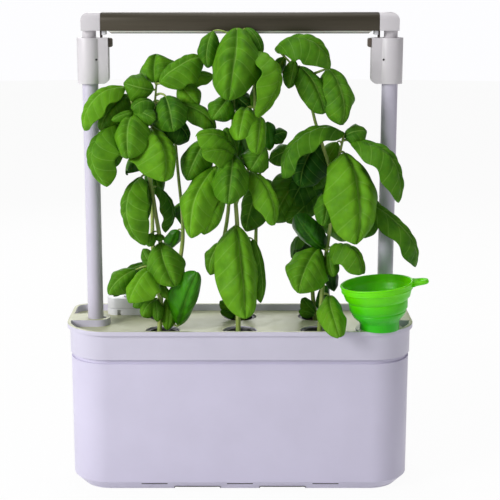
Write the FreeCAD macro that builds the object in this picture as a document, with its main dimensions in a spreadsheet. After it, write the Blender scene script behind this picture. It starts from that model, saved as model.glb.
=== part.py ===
"""Countertop planter with a water tank, a lift-off lid and a lamp on two posts.

The frame is in millimetres, +Z up, with its origin on the ground at the middle of
the tub. The front of the planter faces -Y.
"""

import FreeCAD, Part
import math
import os
import re
from collections import namedtuple

import Sketcher

Vector = FreeCAD.Vector

# Driving dimensions: name, millimetres, meaning
SIZES = [
    ("lid_length", 400, "lid along X over its lip"),
    ("lid_depth", 130, "lid along Y over its lip"),
    ("lid_top", 194, "top of the lip above the ground"),
    ("lip_height", 5, "height of the lip"),
    ("lip_overhang", 3, "how far the lip stands out past the band"),
    ("lip_width", 4, "width of the lip's top face"),
    ("band_bottom", 160, "lower edge of the lid's band"),
    ("band_wall", 2.5, "wall of the lid's band"),
    ("deck_drop", 8, "depth of the planting deck below the lip"),
    ("deck_wall", 3, "thickness of the planting deck"),
    ("front_corner", 50, "radius of the front corners"),
    ("back_corner", 17, "radius of the back corners"),
    ("tank_inset", 4, "tank wall inside the lid's outline"),
    ("tank_top", 155, "top of the outer tank wall"),
    ("tank_wall", 3, "wall of the tank"),
    ("tank_floor", 4, "floor of the tank"),
    ("tank_lift", 1, "gap under the tank, filled by the feet"),
    ("neck_gap", 1, "clearance between the tank neck and the lid's band"),
    ("bottom_bevel", 12, "width and height of the bevel under the tank"),
    ("vent_length", 30, "length of a slot in the bevel"),
    ("vent_height", 2, "height of a slot in the bevel"),
    ("vent_depth", 1.8, "depth of a slot in the bevel"),
    ("vent_drop", 2, "slot's top below the bevel's upper edge"),
    ("vent_pitch", 99, "distance between slots"),
    ("grip_length", 53, "length of a finger recess under the front"),
    ("grip_height", 3.5, "height of a finger recess"),
    ("grip_depth", 4, "depth of a finger recess"),
    ("foot_radius", 9, "radius of a rubber foot"),
    ("foot_height", 2.5, "height of a rubber foot"),
    ("foot_inset_x", 60, "foot centre from the tank's end"),
    ("foot_inset_y", 34, "foot centre from the tank's front and back"),
    ("column_pitch", 89, "distance between planting columns"),
    ("front_row", -29, "front planting row along Y"),
    ("back_row", 33.5, "back planting row along Y"),
    ("hole_radius", 19.5, "radius of a planting hole"),
    ("socket_wall", 1.7, "wall of the socket under a planting hole"),
    ("socket_depth", 3, "depth of the pot's seat below the deck"),
    ("ledge_wall", 2.5, "thickness of the ledge that carries a pot"),
    ("ledge_radius", 16.5, "radius of the hole in the ledge"),
    ("fit_gap", 0.3, "gap between pieces that drop into each other"),
    ("pot_flange", 1.6, "thickness of a pot's flange"),
    ("pot_depth", 50, "depth of a pot below its flange"),
    ("pot_foot_radius", 12, "outer radius at a pot's foot"),
    ("pot_wall", 1.4, "wall of a pot"),
    ("pot_slots", 8, "slots round a pot"),
    ("pot_slot_width", 3, "width of a slot in a pot"),
    ("pot_slot_height", 30, "height of a slot in a pot"),
    ("sponge_height", 34, "height of a growing sponge"),
    ("sponge_sink", 5, "sponge's top below its pot's flange"),
    ("post_inset", 31, "post's axis from the lid's end"),
    ("post_radius", 9, "outer radius of a post"),
    ("post_bore", 7.75, "bore of a post"),
    ("post_seat", 9, "depth of a post in its boss"),
    ("post_top", 511, "top of the posts above the ground"),
    ("boss_front", -14, "front of a post boss along Y"),
    ("boss_back", 17, "back of a post boss along Y"),
    ("boss_margin", 17, "inner end of a post boss from the post's axis"),
    ("notch_width", 3, "width of the lead notch beside a post"),
    ("sleeve_rise", 7, "sleeve's top above the post's"),
    ("sleeve_height", 51, "height of a sleeve"),
    ("sleeve_radius", 14, "outer radius of a sleeve"),
    ("tab_reach", 21.5, "inner face of a sleeve's tab from the post's axis"),
    ("tab_half", 9.5, "half depth of a sleeve's tab"),
    ("tab_round", 6, "radius under a sleeve's tab"),
    ("screw_radius", 1.25, "radius of the set screw"),
    ("screw_offset", 8.5, "set screw from the post's axis"),
    ("screw_drop", 24, "set screw below the sleeve's top"),
    ("screw_depth", 5, "depth of the set screw's hole"),
    ("leg_radius", 7.7, "radius of the lamp's legs"),
    ("leg_length", 94, "lamp's legs below its housing"),
    ("strip_offset", 13.5, "lock strip from the post's axis"),
    ("strip_wide", 2.4, "lock strip along X"),
    ("strip_deep", 6, "lock strip along Y"),
    ("strip_length", 54, "lock strips below the lamp housing"),
    ("tooth_pitch", 5, "distance between teeth on the lock strips"),
    ("tooth_depth", 1.1, "depth of the gaps between those teeth"),
    ("elbow_inner", 14, "lamp housing's end from the post's axis"),
    ("lamp_deep", 28, "lamp housing along Y"),
    ("lamp_gap", 8, "lamp housing above the sleeves"),
    ("lamp_height", 20, "height of the lamp housing"),
    ("lamp_round", 9, "radius along the lamp's upper edges"),
    ("lamp_wall", 1.6, "wall of the lamp housing"),
    ("elbow_outer", 8, "end cap's outer face from the post's axis"),
    ("board_end", 4, "light board's end from the housing's end"),
    ("board_deep", 18, "light board along Y"),
    ("rail_wall", 1.2, "thickness of the rails that carry the light board"),
    ("rail_grip", 1.5, "how far a rail reaches under the light board"),
    ("board_wall", 1.6, "thickness of the light board"),
    ("chip_side", 3, "side of a light chip"),
    ("chip_height", 0.8, "height of a light chip"),
    ("chip_count", 24, "light chips on the board"),
    ("diffuser_height", 4.5, "height of the diffuser"),
    ("diffuser_short", 5.5, "diffuser's end from the housing's end"),
    ("diffuser_bevel", 6.5, "bevel at the diffuser's ends"),
    ("diffuser_wall", 1.2, "wall of the diffuser"),
    ("slide_height", 10, "height of a lock slider"),
    ("slide_proud", 4.4, "how far a lock slider stands out"),
    ("slide_deep", 8, "lock slider along Y"),
    ("slide_drop", 0.5, "lock slider's top below the sleeve's"),
    ("slide_travel", 10, "travel of a lock slider"),
    ("stem_wide", 3, "width of the slider's stem"),
    ("funnel_end", 41.6, "funnel's axis from the lid's right end"),
    ("funnel_front", 17, "funnel's axis from the lid's front"),
    ("funnel_wall", 1.8, "wall of the funnel"),
    ("collar_radius", 22.2, "radius of the funnel's collar"),
    ("collar_height", 9.5, "height of the funnel's collar"),
    ("collar_lap", 2.4, "how far the collar's wall laps into the bowl"),
    ("funnel_lean", 5.5, "lean of the funnel's bowl to the left, in degrees"),
    ("funnel_step_one", 28.8, "funnel's radius at its first fold"),
    ("funnel_step_two", 32.8, "funnel's radius at its second fold"),
    ("funnel_step_three", 36.6, "funnel's radius at its third fold"),
    ("rim_radius", 40.8, "radius of the funnel's rim"),
    ("bowl_height", 43.5, "height of the funnel's bowl above its collar"),
    ("rim_height", 7, "height of the funnel's rim band"),
    ("spout_radius", 9, "radius of the funnel's spout"),
    ("spout_depth", 8, "depth of the funnel's spout in the fill port"),
    ("loop_reach", 58, "funnel's hanging loop from its axis"),
    ("loop_radius", 8, "radius of the hanging loop"),
    ("loop_hole", 4, "radius of the hole in the loop"),
    ("loop_wall", 4, "thickness of the hanging loop"),
    ("port_radius", 9.8, "radius of the fill port"),
    ("port_pad", 27, "radius of the raised pad round the fill port"),
    ("control_end", 40, "control housing from the lid's left end"),
    ("control_length", 66, "length of the control housing"),
    ("control_back", 27, "front of the control housing from the lid's back"),
    ("control_deep", 22, "depth of the control housing"),
    ("control_split", 8, "height of the control housing's base"),
    ("control_height", 21, "height of the control housing above the deck"),
    ("control_wall", 2, "wall of the control housing"),
    ("button_radius", 6, "radius of the power button"),
    ("button_proud", 1.2, "power button above its housing"),
    ("button_travel", 0.9, "travel of the power button"),
    ("button_height", 4, "height of the power button"),
    ("inlet_radius", 4.5, "radius of the power inlet"),
    ("inlet_bore", 2.75, "bore of the power inlet"),
    ("inlet_depth", 9, "depth of the power inlet"),
    ("float_x", -44.5, "level float's axis along X"),
    ("float_y", 3, "level float's axis along Y"),
    ("guide_radius", 3, "radius of the float's guide rod"),
    ("guide_bottom", 20, "lower end of the guide rod"),
    ("float_radius", 12, "radius of the level float"),
    ("float_height", 16, "height of the level float"),
    ("float_gap", 0.1, "running clearance of the float on its rod"),
    ("float_travel", 90, "travel of the level float"),
    ("pump_end", 80, "pump's middle from the lid's right end"),
    ("pump_y", 6, "pump's middle along Y"),
    ("pump_length", 44, "pump along X"),
    ("pump_deep", 34, "pump along Y"),
    ("pump_height", 30, "height of the pump"),
    ("pump_cover", 5, "thickness of the pump's intake cover"),
    ("cup_radius", 6, "radius of a suction foot"),
    ("cup_height", 5, "height of a suction foot"),
    ("nozzle_radius", 4.5, "radius of the pump's nozzle"),
    ("nozzle_bore", 3, "bore of the pump's nozzle"),
    ("nozzle_height", 12, "height of the pump's nozzle"),
    ("leaf_wall", 1.2, "thickness of a leaf"),
    ("leaf_margin", 3, "how far a leaf's plan is cut above and below it"),
    ("plant_reach", 346.4, "lamp above the sponges that the plants' table is written for"),
    ("stem_radius", 2.4, "radius of a main stem"),
    ("petiole_radius", 1.1, "radius of a leaf's stalk"),
]

NAMES = {name for name, value, meaning in SIZES}

# Lengths that follow from the driving dimensions, used by name as these are
DERIVED = {
    "post_spacing": "lid_length - 2 * post_inset",
    "boss_reach": "post_spacing / 2 - boss_margin",
    "sleeve_top": "post_top + sleeve_rise",
    "sleeve_bottom": "sleeve_top - sleeve_height",
    "screw_height": "sleeve_top - screw_drop",
    "slide_top": "sleeve_top - slide_drop",
    "lamp_bottom": "sleeve_top + lamp_gap",
    "leg_bottom": "lamp_bottom - leg_length",
    "strip_bottom": "lamp_bottom - strip_length",
    "lamp_length": "post_spacing - 2 * elbow_inner",
    "elbow_reach": "post_spacing / 2 + elbow_outer",
    "control_left": "control_end - lid_length / 2",
    "control_front": "lid_depth / 2 - control_back",
    "funnel_x": "lid_length / 2 - funnel_end",
    "funnel_y": "funnel_front - lid_depth / 2",
    "pump_x": "lid_length / 2 - pump_end",
    "sponge_top": "lid_top - deck_drop - socket_depth + pot_flange - sponge_sink",
    "plant_unit": "(lamp_bottom - sponge_top) / plant_reach",
}

# Places that several pieces share, worked out from the driving dimensions
DECK = "(lid_top - deck_drop)"
DECK_UNDER = "(lid_top - deck_drop - deck_wall)"
NECK_INSET = "(lip_overhang + band_wall + neck_gap)"
NECK_TOP = "(lid_top - deck_drop - deck_wall - fit_gap)"
POT_SEAT = "(lid_top - deck_drop - socket_depth)"
# How far the gaps between teeth are cut past the strip
TOOTH_OVER = "0.1"
CONTROL_TOP = "(lid_top - deck_drop + control_height)"
TANK_BASE = "(tank_lift + tank_floor)"

doc = FreeCAD.newDocument("planter")
sheet = doc.addObject("Spreadsheet::Sheet", "sizes")
for row, (name, value, meaning) in enumerate(SIZES, start=1):
    sheet.set("A%d" % row, name)
    sheet.set("B%d" % row, str(value))
    sheet.setAlias("B%d" % row, name)
    sheet.set("C%d" % row, meaning)
doc.recompute()


def spelled(word):
    """Write one name of a formula through the sheet, or as the lengths that it follows from."""
    if word[0] in DERIVED:
        return "(" + formula(DERIVED[word[0]]) + ")"
    return "sizes." + word[0] if word[0] in NAMES else word[0]


def formula(text):
    """Write a formula with each driving dimension named through the sheet."""
    return re.sub(r"[a-z_]+", spelled, str(text))


def number(text):
    """Return the value of a formula in millimetres."""
    return float(sheet.evalExpression(formula(text)))


def bind(item, prop, text):
    """Tie one property of an object to a formula."""
    item.setExpression(prop, formula(text))


def place(item, x, y, z):
    """Tie an object's position to three formulas."""
    bind(item, "Placement.Base.x", x)
    bind(item, "Placement.Base.y", y)
    bind(item, "Placement.Base.z", z)


def box(name, x, y, z, at):
    """Add a box with its lowest corner at a point."""
    item = doc.addObject("Part::Box", name)
    bind(item, "Length", x)
    bind(item, "Width", y)
    bind(item, "Height", z)
    place(item, *at)
    return item


def cylinder(name, radius, height, at, turn=None):
    """Add a cylinder with its base's middle at a point, turned from +Z if asked."""
    item = doc.addObject("Part::Cylinder", name)
    bind(item, "Radius", radius)
    bind(item, "Height", height)
    if turn:
        item.Placement = FreeCAD.Placement(Vector(), FreeCAD.Rotation(*turn))
    place(item, *at)
    return item


def cone(name, low, high, height, at):
    """Add a cone frustum with its base's middle at a point."""
    item = doc.addObject("Part::Cone", name)
    bind(item, "Radius1", low)
    bind(item, "Radius2", high)
    bind(item, "Height", height)
    place(item, *at)
    return item


def cut(name, base, tools):
    """Take tools away from a base, one after another."""
    tool = tools[0] if len(tools) == 1 else fuse(name + "_tools", tools)
    item = doc.addObject("Part::Cut", name)
    item.Base = base
    item.Tool = tool
    return item


def fuse(name, shapes):
    """Join several shapes, or group separate ones."""
    item = doc.addObject("Part::MultiFuse", name)
    item.Shapes = shapes
    return item


def common(name, first, second):
    """Keep what two shapes share."""
    item = doc.addObject("Part::MultiCommon", name)
    item.Shapes = [first, second]
    return item


def label(item, node):
    """Name the finished sub-part."""
    item.Label = node
    PIECES.append(item)
    return item


PIECES = []


def origin_plane(body, role):
    """Return one of a body's own origin planes."""
    return next(item for item in body.Origin.OriginFeatures if item.Role == role)


def sketch_on(body, name, role, offset="0"):
    """Add a sketch to a body on one of its planes, raised along the plane's normal."""
    sketch = body.newObject("Sketcher::SketchObject", name)
    sketch.AttachmentSupport = [(origin_plane(body, role), "")]
    sketch.MapMode = "FlatFace"
    bind(sketch, "AttachmentOffset.Base.z", offset)
    return sketch


def free_sketch(name, height):
    """Add a level sketch of its own at a height."""
    sketch = doc.addObject("Sketcher::SketchObject", name)
    bind(sketch, "Placement.Base.z", height)
    return sketch


def dimension(sketch, kind, args, text):
    """Add a constraint and tie its value to a formula."""
    index = sketch.addConstraint(Sketcher.Constraint(kind, *args, number(text)))
    sketch.setExpression("Constraints[%d]" % index, formula(text))


def pin_point(sketch, line, end, x, y):
    """Tie one end of a line to two formulas."""
    dimension(sketch, "DistanceX", (-1, 1, line, end), x)
    dimension(sketch, "DistanceY", (-1, 1, line, end), y)


def polygon(sketch, corners):
    """Draw a closed run of straight lines through corners given as formulas."""
    points = [Vector(number(x), number(y), 0) for x, y in corners]
    lines = []
    for start, end in zip(points, points[1:] + points[:1]):
        lines.append(sketch.addGeometry(Part.LineSegment(start, end), False))
    for line, following in zip(lines, lines[1:] + lines[:1]):
        sketch.addConstraint(Sketcher.Constraint("Coincident", line, 2, following, 1))
    for line, (x, y) in zip(lines, corners):
        pin_point(sketch, line, 1, x, y)
    return sketch


def tub_outline(sketch, inset, front, back):
    """Draw the tub's plan, drawn in by an inset, with its own corner radii."""
    side = "(lid_length / 2 - (%s))" % inset
    depth = "(lid_depth / 2 - (%s))" % inset
    runs = [
        ((side + " - " + front, "-" + depth), ("-" + side + " + " + front, "-" + depth)),
        (("-" + side, "-" + depth + " + " + front), ("-" + side, depth + " - " + back)),
        (("-" + side + " + " + back, depth), (side + " - " + back, depth)),
        ((side, depth + " - " + back), (side, "-" + depth + " + " + front)),
    ]
    radii = [front, back, back, front]
    lines = []
    for start, end in runs:
        first = Vector(number(start[0]), number(start[1]), 0)
        last = Vector(number(end[0]), number(end[1]), 0)
        lines.append(sketch.addGeometry(Part.LineSegment(first, last), False))
        pin_point(sketch, lines[-1], 1, *start)
        pin_point(sketch, lines[-1], 2, *end)
    for line, following, radius in zip(lines, lines[1:] + lines[:1], radii):
        start = sketch.getPoint(line, 2)
        end = sketch.getPoint(following, 1)
        size = number(radius)
        middle = corner_middle(start, end, size)
        turn = math.atan2(end.y - middle.y, end.x - middle.x)
        swing = math.atan2(start.y - middle.y, start.x - middle.x)
        circle = Part.Circle(middle, Vector(0, 0, 1), size)
        arc = sketch.addGeometry(Part.ArcOfCircle(circle, turn, swing), False)
        sketch.addConstraint(Sketcher.Constraint("Coincident", line, 2, arc, 2))
        sketch.addConstraint(Sketcher.Constraint("Coincident", arc, 1, following, 1))
        dimension(sketch, "Radius", (arc,), radius)
    return sketch


def corner_middle(start, end, size):
    """Return the middle of a quarter turn between two ends of the tub's sides."""
    if abs(start.x) < abs(end.x):
        return Vector(start.x, start.y - math.copysign(size, start.y), 0)
    return Vector(start.x - math.copysign(size, start.x), start.y, 0)


def prism(name, inset, front, back, low, high):
    """Stand the tub's plan up between two heights."""
    sketch = tub_outline(free_sketch(name + "_plan", low), inset, front, back)
    item = doc.addObject("Part::Extrusion", name)
    item.Base = sketch
    item.Dir = Vector(0, 0, 1)
    item.Solid = True
    bind(item, "LengthFwd", "%s - (%s)" % (high, low))
    return item


def feature(body, kind, name, sketch, length=None):
    """Add a feature that a sketch drives and make it the body's tip."""
    item = body.newObject("PartDesign::" + kind, name)
    item.Profile = sketch
    if length:
        bind(item, "Length", length)
    body.Tip = item
    return item


def loft(body, kind, name, low, high):
    """Join two level outlines of a body by straight sides."""
    item = body.newObject("PartDesign::" + kind, name)
    item.Profile = low
    item.Sections = [high]
    item.Ruled = True
    body.Tip = item
    return item


def tank_plan(body, name, height, inset, front, back):
    """Draw a level tub outline inside a body."""
    return tub_outline(sketch_on(body, name, "XY_Plane", height), inset, front, back)


def build_tank():
    """Make the water tank with its neck, bevel, vents and finger recesses."""
    body = doc.addObject("PartDesign::Body", "tank")
    crease = "(tank_lift + bottom_bevel)"
    front = "(front_corner - tank_inset)"
    back = "(back_corner - tank_inset)"
    low_front = "(front_corner - tank_inset - bottom_bevel)"
    low_back = "(back_corner / 3)"
    base = tank_plan(body, "tank_base", "tank_lift", "tank_inset + bottom_bevel", low_front, low_back)
    shoulder = tank_plan(body, "tank_shoulder", crease, "tank_inset", front, back)
    loft(body, "AdditiveLoft", "tank_bevel", base, shoulder)
    wall = tank_plan(body, "tank_plan", crease, "tank_inset", front, back)
    feature(body, "Pad", "tank_side", wall, "tank_top - " + crease)
    neck_front = "(front_corner - %s)" % NECK_INSET
    neck_back = "(back_corner - %s)" % NECK_INSET
    neck = tank_plan(body, "tank_neck_plan", "tank_top", NECK_INSET, neck_front, neck_back)
    feature(body, "Pad", "tank_neck", neck, NECK_TOP + " - tank_top")
    throat = "(%s + tank_wall)" % NECK_INSET
    throat_corners = ("(front_corner - %s)" % throat, "(back_corner - %s)" % throat)
    throat_plan = tank_plan(body, "tank_throat_plan", NECK_TOP, throat, *throat_corners)
    shoulder_under = "(tank_top - tank_wall)"
    feature(body, "Pocket", "tank_throat", throat_plan, NECK_TOP + " - %s + 1" % shoulder_under)
    inner = "(tank_inset + tank_wall)"
    inner_front = "(front_corner - %s)" % inner
    inner_back = "(back_corner - %s)" % inner
    hollow = tank_plan(body, "tank_hollow_plan", shoulder_under, inner, inner_front, inner_back)
    feature(body, "Pocket", "tank_hollow", hollow, shoulder_under + " - " + crease)
    sump_inset = "(%s + bottom_bevel)" % inner
    sump_front = "(front_corner - %s)" % sump_inset
    sump_low = tank_plan(body, "tank_sump_low", TANK_BASE, sump_inset, sump_front, "(back_corner / 4)")
    sump_high = tank_plan(body, "tank_sump_high", crease, inner, inner_front, inner_back)
    loft(body, "SubtractiveLoft", "tank_sump", sump_low, sump_high)
    face = "(lid_depth / 2 - tank_inset)"
    vents = sketch_on(body, "tank_vents_plan", "XY_Plane", crease + " - vent_drop")
    for step in (-1, 0, 1):
        middle = "(vent_pitch * %d)" % step
        left = middle + " - vent_length / 2"
        right = middle + " + vent_length / 2"
        near = "-" + face + " - 1"
        far = "-" + face + " + vent_drop + vent_depth"
        polygon(vents, [(left, near), (right, near), (right, far), (left, far)])
    feature(body, "Pocket", "tank_vents", vents, "vent_height")
    grips = sketch_on(body, "tank_grips_plan", "XY_Plane", "tank_lift + grip_height")
    for step in (-1, 1):
        middle = "(vent_pitch / 2 * %d)" % step
        left = middle + " - grip_length / 2"
        right = middle + " + grip_length / 2"
        near = "-" + face + " - 1"
        far = "-" + face + " + bottom_bevel + grip_depth"
        polygon(grips, [(left, near), (right, near), (right, far), (left, far)])
    feature(body, "Pocket", "tank_grips", grips, "grip_height + 1")
    pads = []
    for spot, x, y in foot_spots():
        pads.append(cylinder("foot_seat_" + spot, "foot_radius + fit_gap", "foot_height", (x, y, "0")))
    label(cut("tank_finished", body, pads), "tank_shell")


def foot_spots():
    """List the five feet, four near the corners and one in the middle, as name, X and Y."""
    spots = [("middle", "0", "0")]
    for side in (-1, 1):
        for depth in (-1, 1):
            x = "%d * (lid_length / 2 - tank_inset - foot_inset_x)" % side
            y = "%d * (lid_depth / 2 - tank_inset - foot_inset_y)" % depth
            spots.append(("%d_%d" % (side + 1, depth + 1), x, y))
    return spots


def build_feet():
    """Make the rubber feet under the tank."""
    feet = [cylinder("foot_" + spot, "foot_radius", "foot_height", (x, y, "0")) for spot, x, y in foot_spots()]
    label(fuse("feet_group", feet), "tank_feet")


def slot_prism(name, side, low, high):
    """Stand up a post boss that reaches from the lid's end to its rounded inner end."""
    round_size = "((boss_back - boss_front) / 2)"
    middle = "((boss_back + boss_front) / 2)"
    centre_x = "(boss_reach + %s)" % round_size
    depth = "(%s) - (%s)" % (high, low)
    x = "%d * %s" % (side, centre_x)
    end = cylinder(name + "_round", round_size, depth, (x, middle, low))
    length = "lid_length / 2 - " + centre_x
    start = x if side > 0 else "-lid_length / 2"
    run = box(name + "_run", length, "boss_back - boss_front", depth, (start, "boss_front", low))
    return fuse(name, [end, run])


def holes():
    """List the planting holes as node suffix, X and Y formulas."""
    columns = (("left", "-column_pitch"), ("centre", "0"), ("right", "column_pitch"))
    rows = (("front", "front_row"), ("back", "back_row"))
    return [(row + "_" + column, x, y) for row, y in rows for column, x in columns]


def build_lid():
    """Make the lid: lip, band, sunken deck, pot sockets, post bosses and fill port."""
    back = "(back_corner - %s)"
    front = "(front_corner - %s)"
    lip = prism("lid_lip", "0", "front_corner", "back_corner", "lid_top - lip_height", "lid_top")
    over = "lip_overhang"
    band = prism("lid_band", over, front % over, back % over, "band_bottom", "lid_top - lip_height")
    under = "(lip_overhang + band_wall)"
    hollow = prism("lid_hollow", under, front % under, back % under, "band_bottom - 1", DECK_UNDER)
    edge = "lip_width"
    recess = prism("lid_recess", edge, front % edge, back % edge, DECK, "lid_top + 1")
    shell = cut("lid_shell", fuse("lid_outer", [lip, band]), [hollow, recess])
    fill = prism("lid_fill", "lip_overhang", front % over, back % over, DECK_UNDER, "lid_top")
    raised = [slot_prism("boss_left", -1, DECK_UNDER, "lid_top")]
    raised.append(slot_prism("boss_right", 1, DECK_UNDER, "lid_top"))
    raised.append(cylinder("port_pad", "port_pad", "lid_top - " + DECK_UNDER, ("funnel_x", "funnel_y", DECK_UNDER)))
    bosses = common("lid_raised", fill, fuse("raised_parts", raised))
    sockets = []
    bores = []
    for suffix, x, y in holes():
        low = POT_SEAT + " - ledge_wall"
        outer = "hole_radius + socket_wall"
        sockets.append(cylinder("socket_" + suffix, outer, "socket_depth + ledge_wall", (x, y, low)))
        bores.append(cylinder("hole_" + suffix, "hole_radius", "socket_depth + 1", (x, y, POT_SEAT)))
        bores.append(cylinder("ledge_" + suffix, "ledge_radius", "ledge_wall + 2", (x, y, low + " - 1")))
    for side in (-1, 1):
        x = "%d * post_spacing / 2" % side
        name = "right" if side > 0 else "left"
        seat = ("post_radius + 0.05", "post_seat + 1", (x, "0", "lid_top - post_seat"))
        bores.append(cylinder("post_seat_" + name, *seat))
        notch_x = "%d * (post_spacing / 2 - post_radius - notch_width / 2) - notch_width / 2" % side
        notch = ("notch_width", "2 * notch_width", "post_seat + 1")
        bores.append(box("lead_notch_" + name, *notch, (notch_x, "-notch_width", "lid_top - post_seat")))
    bores.append(cylinder("fill_port", "port_radius", "40", ("funnel_x", "funnel_y", "lid_top - 20")))
    whole = fuse("lid_whole", [shell, bosses] + sockets)
    label(cut("lid_finished", whole, bores), "lid_moulding")


def build_posts():
    """Make the two tubular posts that stand in the lid's bosses."""
    for side, name in ((-1, "left"), (1, "right")):
        x = "%d * post_spacing / 2" % side
        low = "lid_top - post_seat"
        rise = "post_top - (%s)" % low
        outer = cylinder(name + "_post_outer", "post_radius", rise, (x, "0", low))
        bore = cylinder(name + "_post_bore", "post_bore", rise + " + 2", (x, "0", low + " - 1"))
        label(cut(name + "_post_tube", outer, [bore]), name + "_post")


def span_x(side, near, far):
    """Return the low X and the length of a run between two distances from the middle."""
    low = near if side > 0 else "-(%s)" % far
    return low, "(%s) - (%s)" % (far, near)


def upright_edges(item, test):
    """List an item's edges whose middle passes a test, for a fillet."""
    picked = []
    for index, edge in enumerate(item.Shape.Edges, start=1):
        middle = edge.valueAt((edge.FirstParameter + edge.LastParameter) / 2)
        if test(middle, edge):
            picked.append(index)
    return picked


def rounded(name, base, radius, test):
    """Round the edges of a base that pass a test."""
    doc.recompute()
    item = doc.addObject("Part::Fillet", name)
    item.Base = base
    size = number(radius)
    item.Edges = [(index, size, size) for index in upright_edges(base, test)]
    return item


def along(edge, axis):
    """Say whether a straight edge runs along one axis."""
    step = edge.Vertexes[-1].Point - edge.Vertexes[0].Point
    return step.Length > 0 and abs(step.normalize()[axis]) > 0.99


def build_sleeves():
    """Make the clamping sleeves on the posts, each with a tab for its lock strip."""
    screws = []
    for side, name in ((-1, "left"), (1, "right")):
        x = "%d * post_spacing / 2" % side
        height = "sleeve_top - sleeve_bottom"
        barrel = cylinder(name + "_barrel", "sleeve_radius", height, (x, "0", "sleeve_bottom"))
        low, length = span_x(side, "post_spacing / 2 - tab_reach", "post_spacing / 2")
        tab = box(name + "_tab", length, "2 * tab_half", height, (low, "-tab_half", "sleeve_bottom"))
        inner = number("post_spacing / 2 - tab_reach")
        foot = number("sleeve_bottom")

        def under_tab(middle, edge):
            near = abs(abs(middle.x) - inner) < 0.01 and abs(middle.z - foot) < 0.01
            return near and along(edge, 1)

        tab = rounded(name + "_tab_round", tab, "tab_round", under_tab)
        solid = fuse(name + "_sleeve_solid", [barrel, tab])
        bore = cylinder(name + "_sleeve_bore", "post_radius + 0.05", height + " + 2", (x, "0", "sleeve_bottom - 1"))
        strip_x = "%d * (post_spacing / 2 - strip_offset) - strip_wide / 2 - fit_gap" % side
        channel_size = ("strip_wide + 2 * fit_gap", "strip_deep + 2 * fit_gap", "sleeve_top - strip_bottom + 3")
        channel = box(name + "_channel", *channel_size, (strip_x, "-strip_deep / 2 - fit_gap", "strip_bottom - 2"))
        face = "post_spacing / 2 - tab_reach"
        slot_low, slot_length = span_x(side, face + " - 1", "post_spacing / 2 - strip_offset")
        slot_height = "(slide_height + slide_travel)"
        slot_size = (slot_length, "stem_wide + 2 * fit_gap", slot_height)
        slot_at = (slot_low, "-stem_wide / 2 - fit_gap", "slide_top - 1 - " + slot_height)
        slot = box(name + "_slot", *slot_size, slot_at)
        screw_x = "%d * (post_spacing / 2 - screw_offset)" % side
        surface = "sqrt(sleeve_radius ^ 2 - screw_offset ^ 2)"
        hole_at = (screw_x, "-%s + screw_depth" % surface, "screw_height")
        hole = cylinder(name + "_screw_hole", "screw_radius", "screw_depth + 3", hole_at, (Vector(1, 0, 0), 90))
        screw_at = (screw_x, "-%s + screw_depth" % surface, "screw_height")
        screws.append(cylinder(name + "_screw", "screw_radius", "screw_depth - 2", screw_at, (Vector(1, 0, 0), 90)))
        label(cut(name + "_sleeve_cut", solid, [bore, channel, slot, hole]), name + "_sleeve")
    label(fuse("screw_group", screws), "sleeve_set_screws")


def build_locks():
    """Make the toothed strips and the thumb sliders that lock the lamp's height."""
    for side, name in ((-1, "left"), (1, "right")):
        strip_x = "%d * (post_spacing / 2 - strip_offset) - strip_wide / 2" % side
        rise = "lamp_bottom - strip_bottom"
        blank = box(name + "_strip_blank", "strip_wide", "strip_deep", rise, (strip_x, "-strip_deep / 2", "strip_bottom"))
        teeth = []
        count = int(number("(sleeve_top - strip_bottom) / tooth_pitch")) - 1
        for step in range(count):
            gap_x = "%s + (%s)" % (strip_x, "strip_wide - tooth_depth" if side < 0 else "-" + TOOTH_OVER)
            height = "strip_bottom + 2 + tooth_pitch * %d" % step
            gap = ("tooth_depth + " + TOOTH_OVER, "strip_deep + 2", "tooth_pitch / 2")
            teeth.append(box("%s_gap_%d" % (name, step), *gap, (gap_x, "-strip_deep / 2 - 1", height)))
        label(cut(name + "_strip_cut", blank, teeth), name + "_lock_strip")
        face = "post_spacing / 2 - tab_reach"
        low, length = span_x(side, face + " - slide_proud", face + " - 0.2")
        at = (low, "-slide_deep / 2", "slide_top - slide_height")
        pad = box(name + "_slide_pad", length, "slide_deep", "slide_height", at)
        proud = number(face + " - slide_proud")

        def outer_edge(middle, edge):
            return abs(abs(middle.x) - proud) < 0.01 and along(edge, 1)

        pad = rounded(name + "_slide_round", pad, "2", outer_edge)
        reach = "post_spacing / 2 - strip_offset - strip_wide / 2 - fit_gap"
        stem_low, stem_length = span_x(side, face + " - 1", reach)
        stem = (stem_length, "stem_wide", "slide_height - 3")
        pin = box(name + "_slide_stem", *stem, (stem_low, "-stem_wide / 2", "slide_top - slide_height + 1"))
        label(fuse(name + "_slide_whole", [pad, pin]), name + "_lock_slider")


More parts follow.
